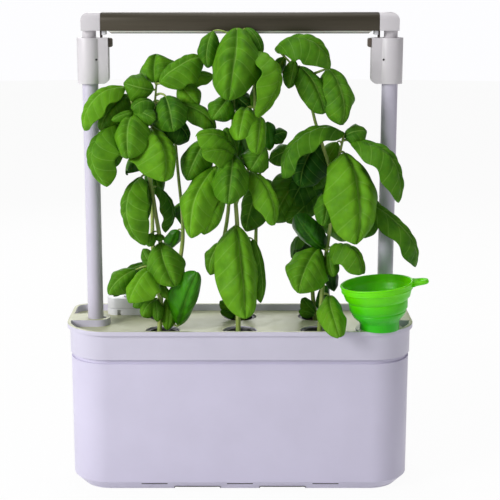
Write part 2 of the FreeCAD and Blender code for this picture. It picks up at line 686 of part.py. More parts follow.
def lamp_section(body, name, inset, low):
    """Draw the lamp housing's section across X: flat below, rounded above."""
    sketch = sketch_on(body, name, "YZ_Plane", "-lamp_length / 2")
    half = "(lamp_deep / 2 - %s)" % inset
    top = "(lamp_bottom + lamp_height - %s)" % inset
    turn = "(lamp_round - %s)" % inset
    points = [("-" + half, low), (half, low), (half, top + " - " + turn), (half + " - " + turn, top)]
    points += [("-" + half + " + " + turn, top), ("-" + half, top + " - " + turn)]
    places = [Vector(number(x), number(y), 0) for x, y in points]
    spans = [(0, 1), (1, 2), (3, 4), (5, 0)]
    lines = {}
    for first, last in spans:
        line = sketch.addGeometry(Part.LineSegment(places[first], places[last]), False)
        pin_point(sketch, line, 1, *points[first])
        pin_point(sketch, line, 2, *points[last])
        lines[(first, last)] = line
    size = number(turn)
    for index, (before, after) in enumerate((((1, 2), (3, 4)), ((3, 4), (5, 0)))):
        side = 1 if index == 0 else -1
        middle = Vector(side * (number(half) - size), number(top) - size, 0)
        start = 0 if index == 0 else math.pi / 2
        circle = Part.Circle(middle, Vector(0, 0, 1), size)
        arc = sketch.addGeometry(Part.ArcOfCircle(circle, start, start + math.pi / 2), False)
        sketch.addConstraint(Sketcher.Constraint("Coincident", lines[before], 2, arc, 1))
        sketch.addConstraint(Sketcher.Constraint("Coincident", arc, 2, lines[after], 1))
        dimension(sketch, "Radius", (arc,), turn)
    return sketch


def build_lamp():
    """Make the lamp: drawn housing, light board, chips, diffuser and end caps."""
    body = doc.addObject("PartDesign::Body", "lamp")
    feature(body, "Pad", "lamp_outer", lamp_section(body, "lamp_outer_section", "0", "lamp_bottom"), "lamp_length")
    inner = lamp_section(body, "lamp_inner_section", "lamp_wall", "lamp_bottom - 1")
    trench = feature(body, "Pocket", "lamp_trench", inner, "lamp_length")
    trench.Reversed = True
    board_z = "(lamp_bottom + 4)"
    rail_y = "(board_deep / 2 - rail_grip)"
    rail = ("lamp_length", "lamp_deep / 2 - lamp_wall / 2 - " + rail_y, "rail_wall")
    rails = [box("rail_front", *rail, ("-lamp_length / 2", "-lamp_deep / 2 + lamp_wall / 2", board_z + " - rail_wall"))]
    rails.append(box("rail_back", *rail, ("-lamp_length / 2", rail_y, board_z + " - rail_wall")))
    label(fuse("housing_whole", [body] + rails), "lamp_housing")
    board_x = "(lamp_length - 2 * board_end)"
    at = ("-(%s) / 2" % board_x, "-board_deep / 2", board_z)
    label(box("board", board_x, "board_deep", "board_wall", at), "light_board")
    chips = []
    count = int(number("chip_count"))
    for step in range(count):
        x = "(%d + 0.5) / %d * lamp_length * 0.9 - lamp_length * 0.45 - chip_side / 2" % (step, count)
        chip = ("chip_side", "chip_side", "chip_height")
        chips.append(box("chip_%d" % step, *chip, (x, "-chip_side / 2", board_z + " - chip_height")))
    label(fuse("chip_group", chips), "light_chips")


def build_diffuser():
    """Make the bevelled diffuser tray that closes the lamp from below."""
    shape = doc.addObject("PartDesign::Body", "diffuser")
    half = "(lamp_deep / 2 - lamp_wall - fit_gap)"
    sketch = sketch_on(shape, "diffuser_outline", "XZ_Plane", "-" + half)
    top = "(lamp_bottom + 1.5)"
    low = "(lamp_bottom + 1.5 - diffuser_height)"
    reach = "(lamp_length / 2 - diffuser_short)"
    corners = [("-" + reach, top), ("-" + reach + " + diffuser_bevel", low)]
    corners += [(reach + " - diffuser_bevel", low), (reach, top)]
    polygon(sketch, corners)
    feature(shape, "Pad", "diffuser_block", sketch, "2 * " + half)
    tray_size = ("2 * (%s - diffuser_bevel) - 2" % reach, "2 * (%s - diffuser_wall)" % half, "diffuser_height")
    tray_at = ("-%s + diffuser_bevel + 1" % reach, "-%s + diffuser_wall" % half, low + " + diffuser_wall")
    tray = box("diffuser_hollow", *tray_size, tray_at)
    label(cut("diffuser_cut", shape, [tray]), "lamp_diffuser")


def build_elbows():
    """Make the end caps that turn the lamp down into its two legs."""
    for side, name in ((-1, "left"), (1, "right")):
        low, length = span_x(side, "lamp_length / 2 + 0.1", "elbow_reach")
        cap = box(name + "_cap", length, "lamp_deep", "lamp_height", (low, "-lamp_deep / 2", "lamp_bottom"))
        top = number("lamp_bottom + lamp_height")
        end = number("elbow_reach")

        def upper(middle, edge):
            level = abs(middle.z - top) < 0.01
            outer = abs(abs(middle.x) - end) < 0.01
            return (level and along(edge, 0)) or (level and outer and along(edge, 1))

        cap = rounded(name + "_cap_round", cap, "lamp_round - 0.5", upper)
        x = "%d * post_spacing / 2" % side
        leg = cylinder(name + "_leg", "leg_radius", "lamp_bottom + 2 - leg_bottom", (x, "0", "leg_bottom"))
        label(fuse(name + "_elbow_whole", [cap, leg]), name + "_lamp_elbow")


def lathe(name, corners, solid=True):
    """Turn a closed half section about Z and return its body."""
    body = doc.addObject("PartDesign::Body", name)
    sketch = polygon(sketch_on(body, name + "_section", "XZ_Plane"), corners)
    turned = body.newObject("PartDesign::Revolution", name + "_turned")
    turned.Profile = sketch
    turned.ReferenceAxis = (sketch, ["V_Axis"])
    turned.Angle = 360
    body.Tip = turned
    return body


def build_pots():
    """Make the slotted pots and the growing sponges in them."""
    for suffix, x, y in holes():
        flange = "(hole_radius - fit_gap)"
        neck = "(ledge_radius - fit_gap)"
        wall = "pot_wall"
        foot = "pot_foot_radius"
        corners = [("0", "-pot_depth"), (foot, "-pot_depth"), (neck, "0"), (flange, "0")]
        corners += [(flange, "pot_flange"), (neck + " - " + wall, "pot_flange")]
        corners += [(foot + " - " + wall, "-pot_depth + pot_wall"), ("0", "-pot_depth + pot_wall")]
        body = lathe("pot_" + suffix, corners)
        slot = sketch_on(body, "slot_plan_" + suffix, "XZ_Plane")
        left = "-pot_slot_width / 2"
        right = "pot_slot_width / 2"
        low = "-pot_depth + 6"
        high = "-pot_depth + 6 + pot_slot_height"
        polygon(slot, [(left, low), (right, low), (right, high), (left, high)])
        opening = feature(body, "Pocket", "slot_" + suffix, slot, "hole_radius")
        opening.Reversed = True
        doc.recompute()
        ring = body.newObject("PartDesign::PolarPattern", "slots_" + suffix)
        ring.Originals = [opening]
        ring.Axis = (slot, ["V_Axis"])
        ring.Angle = 360
        ring.Occurrences = int(number("pot_slots"))
        body.Tip = ring
        place(body, x, y, POT_SEAT)
        label(body, "pot_" + suffix)
        slope = "(ledge_radius - fit_gap - pot_foot_radius) / pot_depth"
        high = neck + " - pot_wall - fit_gap - sponge_sink * " + slope
        low = high + " - sponge_height * " + slope
        sponge = cone("sponge_cone_" + suffix, low, high, "sponge_height", (x, y, "sponge_top - sponge_height"))
        label(sponge, "sponge_" + suffix)


def build_control():
    """Make the control housing on the back of the deck with its button and inlet."""
    low = DECK
    round_size = "(control_deep / 2)"
    back = "(control_front + %s)" % round_size
    ends = []
    for name, rise, start in (("base", "control_split", low),
                              ("cover", "control_height - control_split - 0.2", low + " + control_split + 0.2")):
        first = cylinder(name + "_left_end", round_size, rise, ("control_left + " + round_size, back, start))
        last_x = "control_left + control_length - " + round_size
        last = cylinder(name + "_right_end", round_size, rise, (last_x, back, start))
        run = box(name + "_middle", "control_length - control_deep", "control_deep", rise,
                  ("control_left + " + round_size, "control_front", start))
        ends.append(fuse("control_%s_block" % name, [first, last, run]))
    base, cover = ends
    notch = box("control_notch", "4", "5", "control_split - 1",
                ("control_left + %s + 2" % round_size, "control_front - 1", low + " - 0.5"))
    label(cut("control_base_cut", base, [notch]), "control_base")
    button = ("control_left + control_length * 0.4", back)
    well = cylinder("button_well", "button_radius + fit_gap", "button_height + 1",
                    (*button, CONTROL_TOP + " - button_height + button_proud - button_travel - 0.4"))
    inlet_x = "control_left + control_length * 0.75"
    inlet_z = "(%s + control_split + 7)" % low
    inlet_at = (inlet_x, "control_front + control_deep + 0.6", inlet_z)
    spin = (Vector(1, 0, 0), 90)
    seat = cylinder("inlet_seat", "inlet_radius", "inlet_depth + 2",
                    (inlet_x, "control_front + control_deep + 2", inlet_z), spin)
    label(cut("control_cover_cut", cover, [well, seat]), "control_cover")
    cap_at = (*button, CONTROL_TOP + " - button_height + button_proud")
    label(cylinder("button_cap", "button_radius", "button_height", cap_at), "power_button")
    barrel = cylinder("inlet_barrel", "inlet_radius", "inlet_depth + 0.6", inlet_at, spin)
    bore = cylinder("inlet_hole", "inlet_bore", "inlet_depth", (inlet_at[0], inlet_at[1] + " + 1", inlet_z), spin)
    label(cut("inlet_cut", barrel, [bore]), "power_inlet")


def build_float():
    """Make the level float and the rod that it slides on."""
    rise = DECK_UNDER + " - guide_bottom"
    rod = cylinder("rod_shaft", "guide_radius", rise, ("float_x", "float_y", "guide_bottom"))
    stop = cylinder("rod_stop", "guide_radius + 3", "3", ("float_x", "float_y", "guide_bottom"))
    label(fuse("rod_whole", [rod, stop]), "float_guide")
    low = "guide_bottom + 3 + fit_gap"
    ring = cylinder("float_ring", "float_radius", "float_height", ("float_x", "float_y", low))
    bore = cylinder("float_bore", "guide_radius + float_gap", "float_height + 2", ("float_x", "float_y", low + " - 1"))
    label(cut("float_cut", ring, [bore]), "level_float")


def build_pump():
    """Make the circulation pump that stands on suction feet in the tank."""
    low = TANK_BASE + " + cup_height"
    at = ("pump_x - pump_length / 2", "pump_y - pump_deep / 2", low)
    block = box("pump_block", "pump_length", "pump_deep", "pump_height", at)
    doc.recompute()
    block = rounded("pump_round", block, "4", lambda middle, edge: along(edge, 2))
    top = low + " + pump_height"
    pipe = cylinder("nozzle_pipe", "nozzle_radius", "nozzle_height + 1", ("pump_x - 8", "pump_y", top + " - 1"))
    hole = cylinder("nozzle_hole", "nozzle_bore", "nozzle_height + 9", ("pump_x - 8", "pump_y", top + " - 8"))
    label(cut("pump_cut", fuse("pump_whole", [block, pipe]), [hole]), "pump_body")
    cover_x = "pump_x + pump_length / 2"
    plate = box("cover_plate", "pump_cover", "pump_deep - 4", "pump_height - 6",
                (cover_x, "pump_y - pump_deep / 2 + 2", low + " + 3"))
    slots = []
    for step in range(4):
        y = "pump_y - pump_deep / 2 + 6 + %d * (pump_deep - 12) / 4 + 0.7" % step
        slots.append(box("cover_slot_%d" % step, "pump_cover - 1.5", "(pump_deep - 12) / 4 - 1.4", "pump_height - 14",
                         (cover_x + " + 1.5", y, low + " + 7")))
    label(cut("cover_cut", plate, slots), "pump_intake_cover")
    cups = []
    for side in (-1, 1):
        for depth in (-1, 1):
            x = "pump_x + %d * (pump_length / 2 - cup_radius - 1)" % side
            y = "pump_y + %d * (pump_deep / 2 - cup_radius - 1)" % depth
            name = "cup_%d_%d" % (side + 1, depth + 1)
            cups.append(cone(name, "cup_radius", "cup_radius / 2", "cup_height", (x, y, TANK_BASE)))
    label(fuse("cup_group", cups), "pump_suction_feet")


def build_funnel():
    """Make the folding funnel: upright collar, leaning bowl of three folds, rim band and loop."""
    wall = "funnel_wall"
    collar = [("spout_radius", "-spout_depth"), ("spout_radius", "0"), ("collar_radius", "0"),
              ("collar_radius", "collar_height + collar_lap"),
              ("collar_radius - " + wall, "collar_height + collar_lap"), ("collar_radius - " + wall, "1.8"),
              ("spout_radius - " + wall, "0.8"), ("spout_radius - " + wall, "-spout_depth")]
    stem = lathe("funnel_collar", collar)
    place(stem, "funnel_x", "funnel_y", "lid_top")
    skin = [("collar_radius + 0.8", "0"), ("funnel_step_one", "6"), ("funnel_step_one + 2.2", "10"),
            ("funnel_step_one + 1.8", "11"), ("funnel_step_two", "14"), ("funnel_step_two + 0.8", "22"),
            ("funnel_step_two + 0.4", "23.5"), ("funnel_step_three", "27"),
            ("rim_radius - 1.6", "bowl_height - rim_height - 1"), ("rim_radius - 0.6", "bowl_height - rim_height"),
            ("rim_radius", "bowl_height")]
    lining = [("(%s) - %s" % (radius, wall), height) for radius, height in reversed(skin[1:])]
    seat = [("collar_radius - %s * 0.7" % wall, "1.5"), ("collar_radius - %s * 0.7" % wall, "-0.8"),
            ("collar_radius + 0.4", "-0.8")]
    bowl = lathe("funnel_bowl", skin + lining + seat)
    top = "bowl_height - 1"
    ear_x = "loop_reach - loop_radius"
    ear = cylinder("loop_round", "loop_radius", "loop_wall", (ear_x, "0", top + " - loop_wall"))
    neck = box("loop_neck", "loop_reach - loop_radius - rim_radius + 1", "2 * loop_radius", "loop_wall",
               ("rim_radius - 1", "-loop_radius", top + " - loop_wall"))
    hole = cylinder("loop_hole", "loop_hole", "loop_wall + 2", (ear_x, "0", top + " - loop_wall - 1"))
    loop = cut("loop_cut", fuse("loop_solid", [ear, neck]), [hole])
    leaning = fuse("funnel_leaning", [bowl, loop])
    leaning.Placement = FreeCAD.Placement(Vector(), FreeCAD.Rotation(Vector(0, 1, 0), -number("funnel_lean")))
    place(leaning, "funnel_x", "funnel_y", "lid_top + collar_height")
    label(fuse("funnel_whole", [stem, leaning]), "fill_funnel")


# A leaf hangs between two points, bowed out along a direction by a rise, with a width.
# Points are in millimetres from the middle of the plant's hole at the sponge's top.
Leaf = namedtuple("Leaf", "base tip facing rise width")
Plant = namedtuple("Plant", "stems leaves")

PLANTS = {
    "front_left": Plant(
        stems=[
            [(-4, 0, 1), (-1, 0, 104), (-6, 1, 140), (-12, 2, 179), (-22, 2, 215), (-28, -5, 258)],
            [(-12, 2, 179), (-8, 1, 240), (-4, 7, 288)],
        ],
        leaves=[
            Leaf((-39, 6, 285), (-85, -8, 238), (-5, -6, 5), 18, 30),
            Leaf((-35, 10, 276), (-68, 0, 237), (-5, -8, 3), 7, 32),
            Leaf((-48, -2, 243), (-59, -30, 177), (-8, -6, 2), 23, 36),
            Leaf((-44, 2, 241), (-54, -14, 196), (-5, -8, 2), 7, 17),
            Leaf((-29, -9, 256), (-33, -43, 212), (1, -8, 6), 6, 36),
            Leaf((-7, 4, 282), (-40, -6, 291), (-1, -8, 4), 6, 28),
            Leaf((-6, 9, 290), (-5, 21, 322), (0, -8, 6), 2, 40),
            Leaf((0, 4, 289), (48, 12, 318), (-3, -7, 7), 7, 34),
            Leaf((23, 24, 288), (60, 30, 297), (-1, -8, 4), 4, 17),
            Leaf((21, 16, 288), (43, 10, 264), (3, -8, 4), 3, 24),
            Leaf((20, 8, 265), (63, 0, 240), (2, -8, 5), 5, 24),
            Leaf((6, 0, 276), (16, -26, 239), (2, -8, 6), 6, 35),
            Leaf((-6, -1, 267), (-31, -17, 264), (0, -7, 7), 5, 24),
            Leaf((-29, -6, 259), (-4, -24, 252), (0, -7, 7), 4, 18),
            Leaf((-28, -8, 259), (-52, -20, 251), (0, -7, 7), 4, 11),
            Leaf((-10, -1, 240), (8, -36, 185), (5, -9, 3), 10, 43),
            Leaf((3, 12, 245), (33, 8, 225), (3, -8, 4), 5, 32),
            Leaf((-22, -2, 185), (-18, -24, 110), (-6, -9, 2), 23, 36),
            Leaf((-14, 6, 181), (-17, 4, 133), (2, -9, 1), 3, 13),
            Leaf((-5, 3, 173), (5, 8, 119), (8, -6, 2), 11, 22),
            Leaf((-1, -1, 109), (16, -33, 66), (3, -9, 4), 7, 38),
            Leaf((-11, -3, 121), (-14, -10, 107), (0, -9, 3), 2, 12),
            Leaf((-9, 0, 117), (4, -4, 116), (0, -8, 6), 1, 9),
            Leaf((-10, -6, 81), (-36, -35, 48), (-4, -8, 5), 8, 34),
            Leaf((-30, 0, 78), (-61, -10, 51), (-4, -7, 5), 9, 25),
            Leaf((-16, 4, 50), (-34, 0, 34), (-3, -8, 4), 2, 15),
            Leaf((-9, 1, 81), (-22, 7, 101), (-2, -9, 2), 2, 15),
            Leaf((18, -4, 13), (41, -29, 82), (1, -9, 2), 3, 28),
            Leaf((-5, 3, 43), (-23, -13, 27), (0, -8, 6), 2, 16),
            Leaf((7, 4, 45), (6, -6, 8), (3, -9, 3), 3, 16),
            Leaf((-3, 2, 62), (12, -9, 44), (3, -8, 4), 2, 12),
            Leaf((-7, -4, 43), (-5, -12, 20), (-2, -9, 3), 2, 12),
        ],
    ),
    "back_left": Plant(
        stems=[
            [(-2, 0, 1), (-14, -3, 90), (-14, -7, 132), (-16, -11, 185), (-19, -19, 267)],
            [(1, 0, 1), (20, -7, 89), (22, -10, 111), (17, -15, 185), (11, -21, 267)],
        ],
        leaves=[
            Leaf((9, -25, 247), (23, -31, 218), (2, -9, 3), 3, 26),
            Leaf((-15, -3, 73), (-62, -19, 36), (-5, -4, 8), 10, 24),
            Leaf((-16, -5, 207), (-46, 37, 175), (-3, 6, 7), 8, 30),
            Leaf((19, -7, 143), (36, 31, 108), (3, 6, 7), 7, 28),
            Leaf((-3, -13, 266), (-1, 33, 228), (0, 6, 7), 8, 32),
            Leaf((-13, -16, 192), (-3, -26, 157), (2, -9, 3), 4, 20),
            Leaf((16, -5, 113), (1, 10, 86), (2, -8, 4), 3, 18),
        ],
    ),
    "front_centre": Plant(
        stems=[
            [(-2, 0, 1), (-3, 1, 126), (-5, 2, 157), (-8, -1, 213), (-7, 4, 270), (-3, 7, 336)],
            [(-5, 2, 157), (9, -1, 193), (16, 2, 260), (14, 5, 315)],
        ],
        leaves=[
            Leaf((-3, 5, 349), (-13, -37, 274), (-1, -8, 7), 12, 50),
            Leaf((-30, 5, 346), (-36, -3, 306), (-4, -8, 2), 6, 20),
            Leaf((6, 9, 349), (25, -1, 321), (6, -6, 5), 5, 22),
            Leaf((10, 18, 310), (0, 14, 288), (0, -8, 4), 3, 18),
            Leaf((17, 3, 325), (20, -33, 254), (8, -7, 2), 23, 38),
            Leaf((22, 12, 295), (13, 6, 262), (-2, -9, 2), 3, 14),
            Leaf((-13, 1, 274), (-31, -17, 252), (-2, -8, 5), 5, 27),
            Leaf((-8, 14, 276), (13, 8, 260), (1, -8, 4), 3, 20),
            Leaf((7, 1, 262), (-2, -37, 232), (-4, -8, 4), 6, 29),
            Leaf((21, -5, 253), (18, -43, 217), (4, -8, 2), 6, 25),
            Leaf((26, -4, 218), (11, -22, 195), (2, -8, 4), 4, 28),
            Leaf((-6, -5, 213), (-46, -33, 238), (-2, -6, 7), 6, 33),
            Leaf((-4, -3, 210), (-15, -10, 242), (3, -8, 4), 3, 18),
            Leaf((-8, -9, 209), (-41, -43, 219), (-1, -7, 7), 5, 22),
            Leaf((-8, -8, 210), (-13, -51, 163), (0, -8, 5), 8, 36),
            Leaf((-38, -2, 226), (-60, -16, 183), (-4, -9, 3), 6, 30),
            Leaf((-27, -5, 198), (-55, -29, 120), (-5, -9, 3), 17, 36),
            Leaf((-22, -9, 178), (-40, -25, 123), (1, -9, 2), 6, 34),
            Leaf((-5, -1, 130), (7, -45, 32), (0, -9, 3), 8, 47),
            Leaf((15, 4, 112), (24, -20, 44), (3, -9, 3), 4, 18),
            Leaf((-21, 8, 108), (-35, 2, 71), (-3, -8, 3), 5, 22),
            Leaf((12, -7, 193), (39, -37, 137), (4, -8, 3), 7, 28),
        ],
    ),
    "back_centre": Plant(
        stems=[
            [(-2, 0, 1), (-21, -5, 71), (-14, -7, 135), (-9, -13, 208), (0, -20, 289)],
            [(2, 0, 1), (18, -5, 91), (19, -7, 116), (25, -13, 208)],
        ],
        leaves=[
            Leaf((24, -15, 179), (5, -31, 116), (-2, -9, 1), 6, 36),
            Leaf((-7, -7, 231), (-5, 43, 189), (0, 6, 7), 8, 34),
            Leaf((23, -3, 172), (41, 41, 135), (3, 6, 7), 8, 30),
            Leaf((-2, -5, 13), (-24, -12, 28), (-1, -8, 4), 2, 12),
            Leaf((-5, -7, 10), (-23, -14, 17), (0, -8, 6), 2, 11),
            Leaf((4, -7, 11), (14, -12, 25), (0, -8, 5), 2, 11),
            Leaf((35, -12, 209), (32, -22, 243), (2, -9, 2), 4, 20),
            Leaf((32, -14, 221), (54, -20, 231), (0, -8, 5), 3, 16),
        ],
    ),
    "front_right": Plant(
        stems=[
            [(2, 0, 1), (7, -1, 78), (10, -1, 105), (15, 0, 142), (19, 1, 192), (26, 3, 226)],
            [(18, 1, 181), (-2, 5, 237), (-22, 7, 298), (-40, 9, 319)],
            [(-22, 7, 298), (9, 7, 306)],
        ],
        leaves=[
            Leaf((-49, 9, 325), (13, -11, 308), (6, -6, 6), 23, 36),
            Leaf((-23, 5, 308), (4, -17, 258), (0, -8, 5), 5, 31),
            Leaf((9, 7, 306), (23, -17, 245), (5, -8, 3), 11, 36),
            Leaf((-29, 2, 315), (-35, -4, 284), (2, -8, 4), 3, 14),
            Leaf((-40, 10, 318), (-48, 8, 297), (-1, -8, 4), 2, 12),
            Leaf((27, 2, 234), (-44, -21, 187), (-4, -5, 7), 24, 34),
            Leaf((-1, 14, 223), (-22, 4, 172), (0, -9, 3), 5, 38),
            Leaf((21, 16, 222), (4, 14, 193), (-1, -9, 3), 3, 20),
            Leaf((28, -1, 212), (39, -47, 117), (2, -9, 3), 10, 57),
            Leaf((65, 2, 158), (52, 0, 114), (2, -9, 2), 4, 24),
            Leaf((35, 1, 224), (90, -21, 159), (7, -6, 5), 26, 37),
            Leaf((28, 3, 230), (53, -1, 237), (1, -8, 5), 4, 27),
            Leaf((9, -3, 168), (4, -23, 133), (0, -9, 4), 4, 21),
            Leaf((7, -3, 103), (-27, -19, 145), (-3, -8, 4), 3, 27),
            Leaf((0, -3, 102), (-25, -39, 60), (-4, -8, 5), 10, 40),
            Leaf((14, -5, 101), (16, -22, 75), (1, -8, 5), 3, 17),
            Leaf((14, -3, 104), (50, -50, 73), (4, -6, 6), 13, 31),
            Leaf((13, -6, 49), (21, -63, 16), (1, -8, 5), 8, 27),
            Leaf((16, 10, 78), (20, 14, 48), (1, -9, 3), 2, 14),
            Leaf((50, -5, 158), (116, 4, 72), (7, -7, 4), 22, 32),
        ],
    ),
    "back_right": Plant(
        stems=[
            [(2, 0, 1), (-3, -3, 51), (3, -7, 125), (6, -15, 208)],
        ],
        leaves=[
            Leaf((5, -17, 209), (-6, -31, 164), (-1, -9, 2), 4, 34),
            Leaf((3, -13, 182), (25, -21, 156), (1, -9, 3), 3, 22),
            Leaf((3, -13, 170), (-35, -29, 126), (-3, -9, 2), 5, 28),
            Leaf((3, -9, 131), (54, -19, 108), (2, -9, 1), 4, 24),
            Leaf((4, -9, 190), (25, 39, 143), (3, 6, 7), 8, 32),
            Leaf((1, -5, 110), (-23, 39, 71), (-3, 6, 7), 8, 30),
            Leaf((-16, -14, 183), (-51, -20, 124), (-2, -9, 3), 6, 42),
            Leaf((6, -12, 190), (-30, -30, 146), (-3, -9, 3), 6, 38),
            Leaf((-20, -12, 209), (-56, -22, 198), (-1, -8, 5), 4, 24),
            Leaf((1, -6, 12), (-15, -12, 32), (-1, -8, 4), 2, 13),
            Leaf((-1, -8, 10), (-19, -14, 17), (0, -8, 6), 2, 10),
            Leaf((8, -5, 13), (13, -14, 48), (1, -9, 2), 3, 16),
        ],
    ),
}


def rod(start, end, radius, sides, extra=0):
    """Return a many-sided rod between two points, run on past its end by an extra."""
    step = end - start
    turn = FreeCAD.Rotation(Vector(0, 0, 1), step)
    angles = [2 * math.pi * side / sides for side in range(sides)]
    ring = [start + turn.multVec(Vector(math.cos(a), math.sin(a), 0) * radius) for a in angles]
    return Part.Face(Part.makePolygon(ring + ring[:1])).extrude(step * (1 + extra / step.Length))


def nearest_on(stems, point):
    """Return the point of the stems that is nearest to a point."""
    best = None
    for stem in stems:
        for start, end in zip(stem, stem[1:]):
            run = end - start
            share = max(0.0, min(1.0, (point - start).dot(run) / run.dot(run)))
            spot = start + run * share
            if best is None or (point - spot).Length < (point - best).Length:
                best = spot
    return best


# A leaf's plan: share of its length, half width as a share of its width
LEAF_PLAN = [(0.12, 0.33), (0.4, 0.5), (0.75, 0.42), (0.93, 0.2)]
LEAF_PANELS = 4


def blade(leaf, wall):
    """Return a leaf's blade, folded into flat panels, and a point on it near its base."""
    unit = number("plant_unit")
    width = leaf.width * unit
    rise = leaf.rise * unit
    base = Vector(*leaf.base) * unit
    run = Vector(*leaf.tip) * unit - base
    facing = Vector(*leaf.facing)
    facing = (facing - run * (facing.dot(run) / run.dot(run))).normalize()
    across = run.cross(facing).normalize()
    spots = []
    for step in range(LEAF_PANELS + 1):
        share = step / LEAF_PANELS
        spots.append(base + run * share + facing * (4 * rise * share * (1 - share)))
    upper = [spot + facing * (wall / 2) for spot in spots]
    lower = [spot - facing * (wall / 2) for spot in reversed(spots)]
    profile = Part.Face(Part.makePolygon(upper + lower + upper[:1]))
    profile.translate(across * -width)
    bent = profile.extrude(across * (2 * width))
    margin = number("leaf_margin")
    floor = facing * -margin
    near_side = [base + run * share + across * (half * width) + floor for share, half in LEAF_PLAN]
    far_side = [base + run * share - across * (half * width) + floor for share, half in reversed(LEAF_PLAN)]
    plan = [base + floor] + near_side + [base + run + floor] + far_side
    outline = Part.Face(Part.makePolygon(plan + plan[:1])).extrude(facing * (rise + 2 * margin))
    return bent.common(outline), (spots[0] + spots[1]) * 0.5


def plant_shape(plant):
    """Return one plant as a single solid of stems, stalks and leaves."""
    thick = number("stem_radius")
    thin = number("petiole_radius")
    wall = number("leaf_wall")
    unit = number("plant_unit")
    stems = [[Vector(*point) * unit for point in stem] for stem in plant.stems]
    pieces = []
    for stem in stems:
        for index, (start, end) in enumerate(zip(stem, stem[1:])):
            radius = thick * (1 - 0.12 * index)
            pieces.append(rod(start, end, radius, 8, radius * 0.4))
    for leaf in plant.leaves:
        sheet_shape, near = blade(leaf, wall)
        pieces.append(sheet_shape)
        pieces.append(rod(nearest_on(stems, near), near, thin, 5))
    return pieces[0].multiFuse(pieces[1:])


def build_plants():
    """Make the six basil plants, each rooted in its sponge."""
    for suffix, x, y in holes():
        item = doc.addObject("Part::Feature", "basil_shape_" + suffix)
        item.Shape = plant_shape(PLANTS[suffix])
        place(item, x, y, "sponge_top")
        label(item, "basil_" + suffix)


def main():
    """Build every sub-part, check it and write its file."""
    build_tank()
    build_feet()
    build_lid()
    build_posts()
    build_sleeves()
    build_locks()
    build_lamp()
    build_diffuser()
    build_elbows()
    build_pots()
    build_control()
    build_float()
    build_pump()
    build_funnel()
    build_plants()
    doc.recompute()
    failed = [item.Name for item in doc.Objects if "Invalid" in item.State or "Error" in item.State]
    for item in PIECES:
        shape = item.Shape
        if shape.isNull() or not shape.isValid() or not shape.Solids:
            failed.append(item.Label)
    if failed:
        raise RuntimeError("these did not build: " + ", ".join(failed))
    os.makedirs("parts", exist_ok=True)
    for item in PIECES:
        item.Shape.exportStep(os.path.join("parts", item.Label + ".step"))
        print(item.Label, len(item.Shape.Solids), round(item.Shape.Volume))


main()
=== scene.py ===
"""Dress the countertop water planter: tub, lid, lamp, pots, plants and funnel.

Lengths are metres in the CAD's frame: +X along the tub, +Y to its back, +Z up.
"""

import logging
import math
import random
from dataclasses import dataclass, field
from enum import Enum
from typing import Iterable, Sequence

import bmesh
import bpy
from mathutils import Matrix, Quaternion, Vector, noise


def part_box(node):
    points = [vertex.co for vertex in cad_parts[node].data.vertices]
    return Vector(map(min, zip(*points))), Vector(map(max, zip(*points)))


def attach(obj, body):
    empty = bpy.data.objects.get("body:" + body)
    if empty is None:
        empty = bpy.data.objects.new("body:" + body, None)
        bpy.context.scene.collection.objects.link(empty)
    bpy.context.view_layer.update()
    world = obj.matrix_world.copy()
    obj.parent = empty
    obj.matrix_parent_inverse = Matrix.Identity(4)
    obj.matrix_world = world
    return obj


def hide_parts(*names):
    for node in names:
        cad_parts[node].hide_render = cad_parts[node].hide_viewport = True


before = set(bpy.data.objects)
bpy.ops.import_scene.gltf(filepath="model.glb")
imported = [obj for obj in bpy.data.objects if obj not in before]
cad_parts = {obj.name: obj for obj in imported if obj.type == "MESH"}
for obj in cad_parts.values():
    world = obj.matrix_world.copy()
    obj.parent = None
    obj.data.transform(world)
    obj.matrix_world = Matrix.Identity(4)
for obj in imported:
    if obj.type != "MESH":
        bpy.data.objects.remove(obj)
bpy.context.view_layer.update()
LOG = logging.getLogger("planter")
MM = 0.001
UP = Vector((0.0, 0.0, 1.0))
Colour = tuple[float, float, float]
Point = tuple[float, float, float]
HOLES = tuple(f"{row}_{column}" for row in ("front", "back") for column in ("left", "centre", "right"))


class Side(Enum):
    """The two ends of the planter, with the sign of their X."""

    LEFT = -1
    RIGHT = 1

    @property
    def word(self) -> str:
        """Return the side's name as the nodes have it."""
        return self.name.lower()


class Body(Enum):
    """The bodies that move against each other."""

    TANK = "tank"
    LID = "lid"
    LAMP = "lamp"
    LEFT_LOCK = "left_lock"
    RIGHT_LOCK = "right_lock"
    BUTTON = "button"
    FLOAT = "float"
    FUNNEL = "funnel"


def srgb(red: int, green: int, blue: int) -> Colour:
    """Turn a colour as a screen shows it into the linear values a shader takes.

    Args:
        red: Red from 0 to 255.
        green: Green from 0 to 255.
        blue: Blue from 0 to 255.

    Returns:
        The linear colour.
    """
    shares = (value / 255.0 for value in (red, green, blue))
    return tuple(share / 12.92 if share <= 0.04045 else ((share + 0.055) / 1.055) ** 2.4 for share in shares)


def scaled(colour: Colour, share: float) -> Colour:
    """Return a colour made darker or paler by a share."""
    return tuple(min(1.0, part * share) for part in colour)


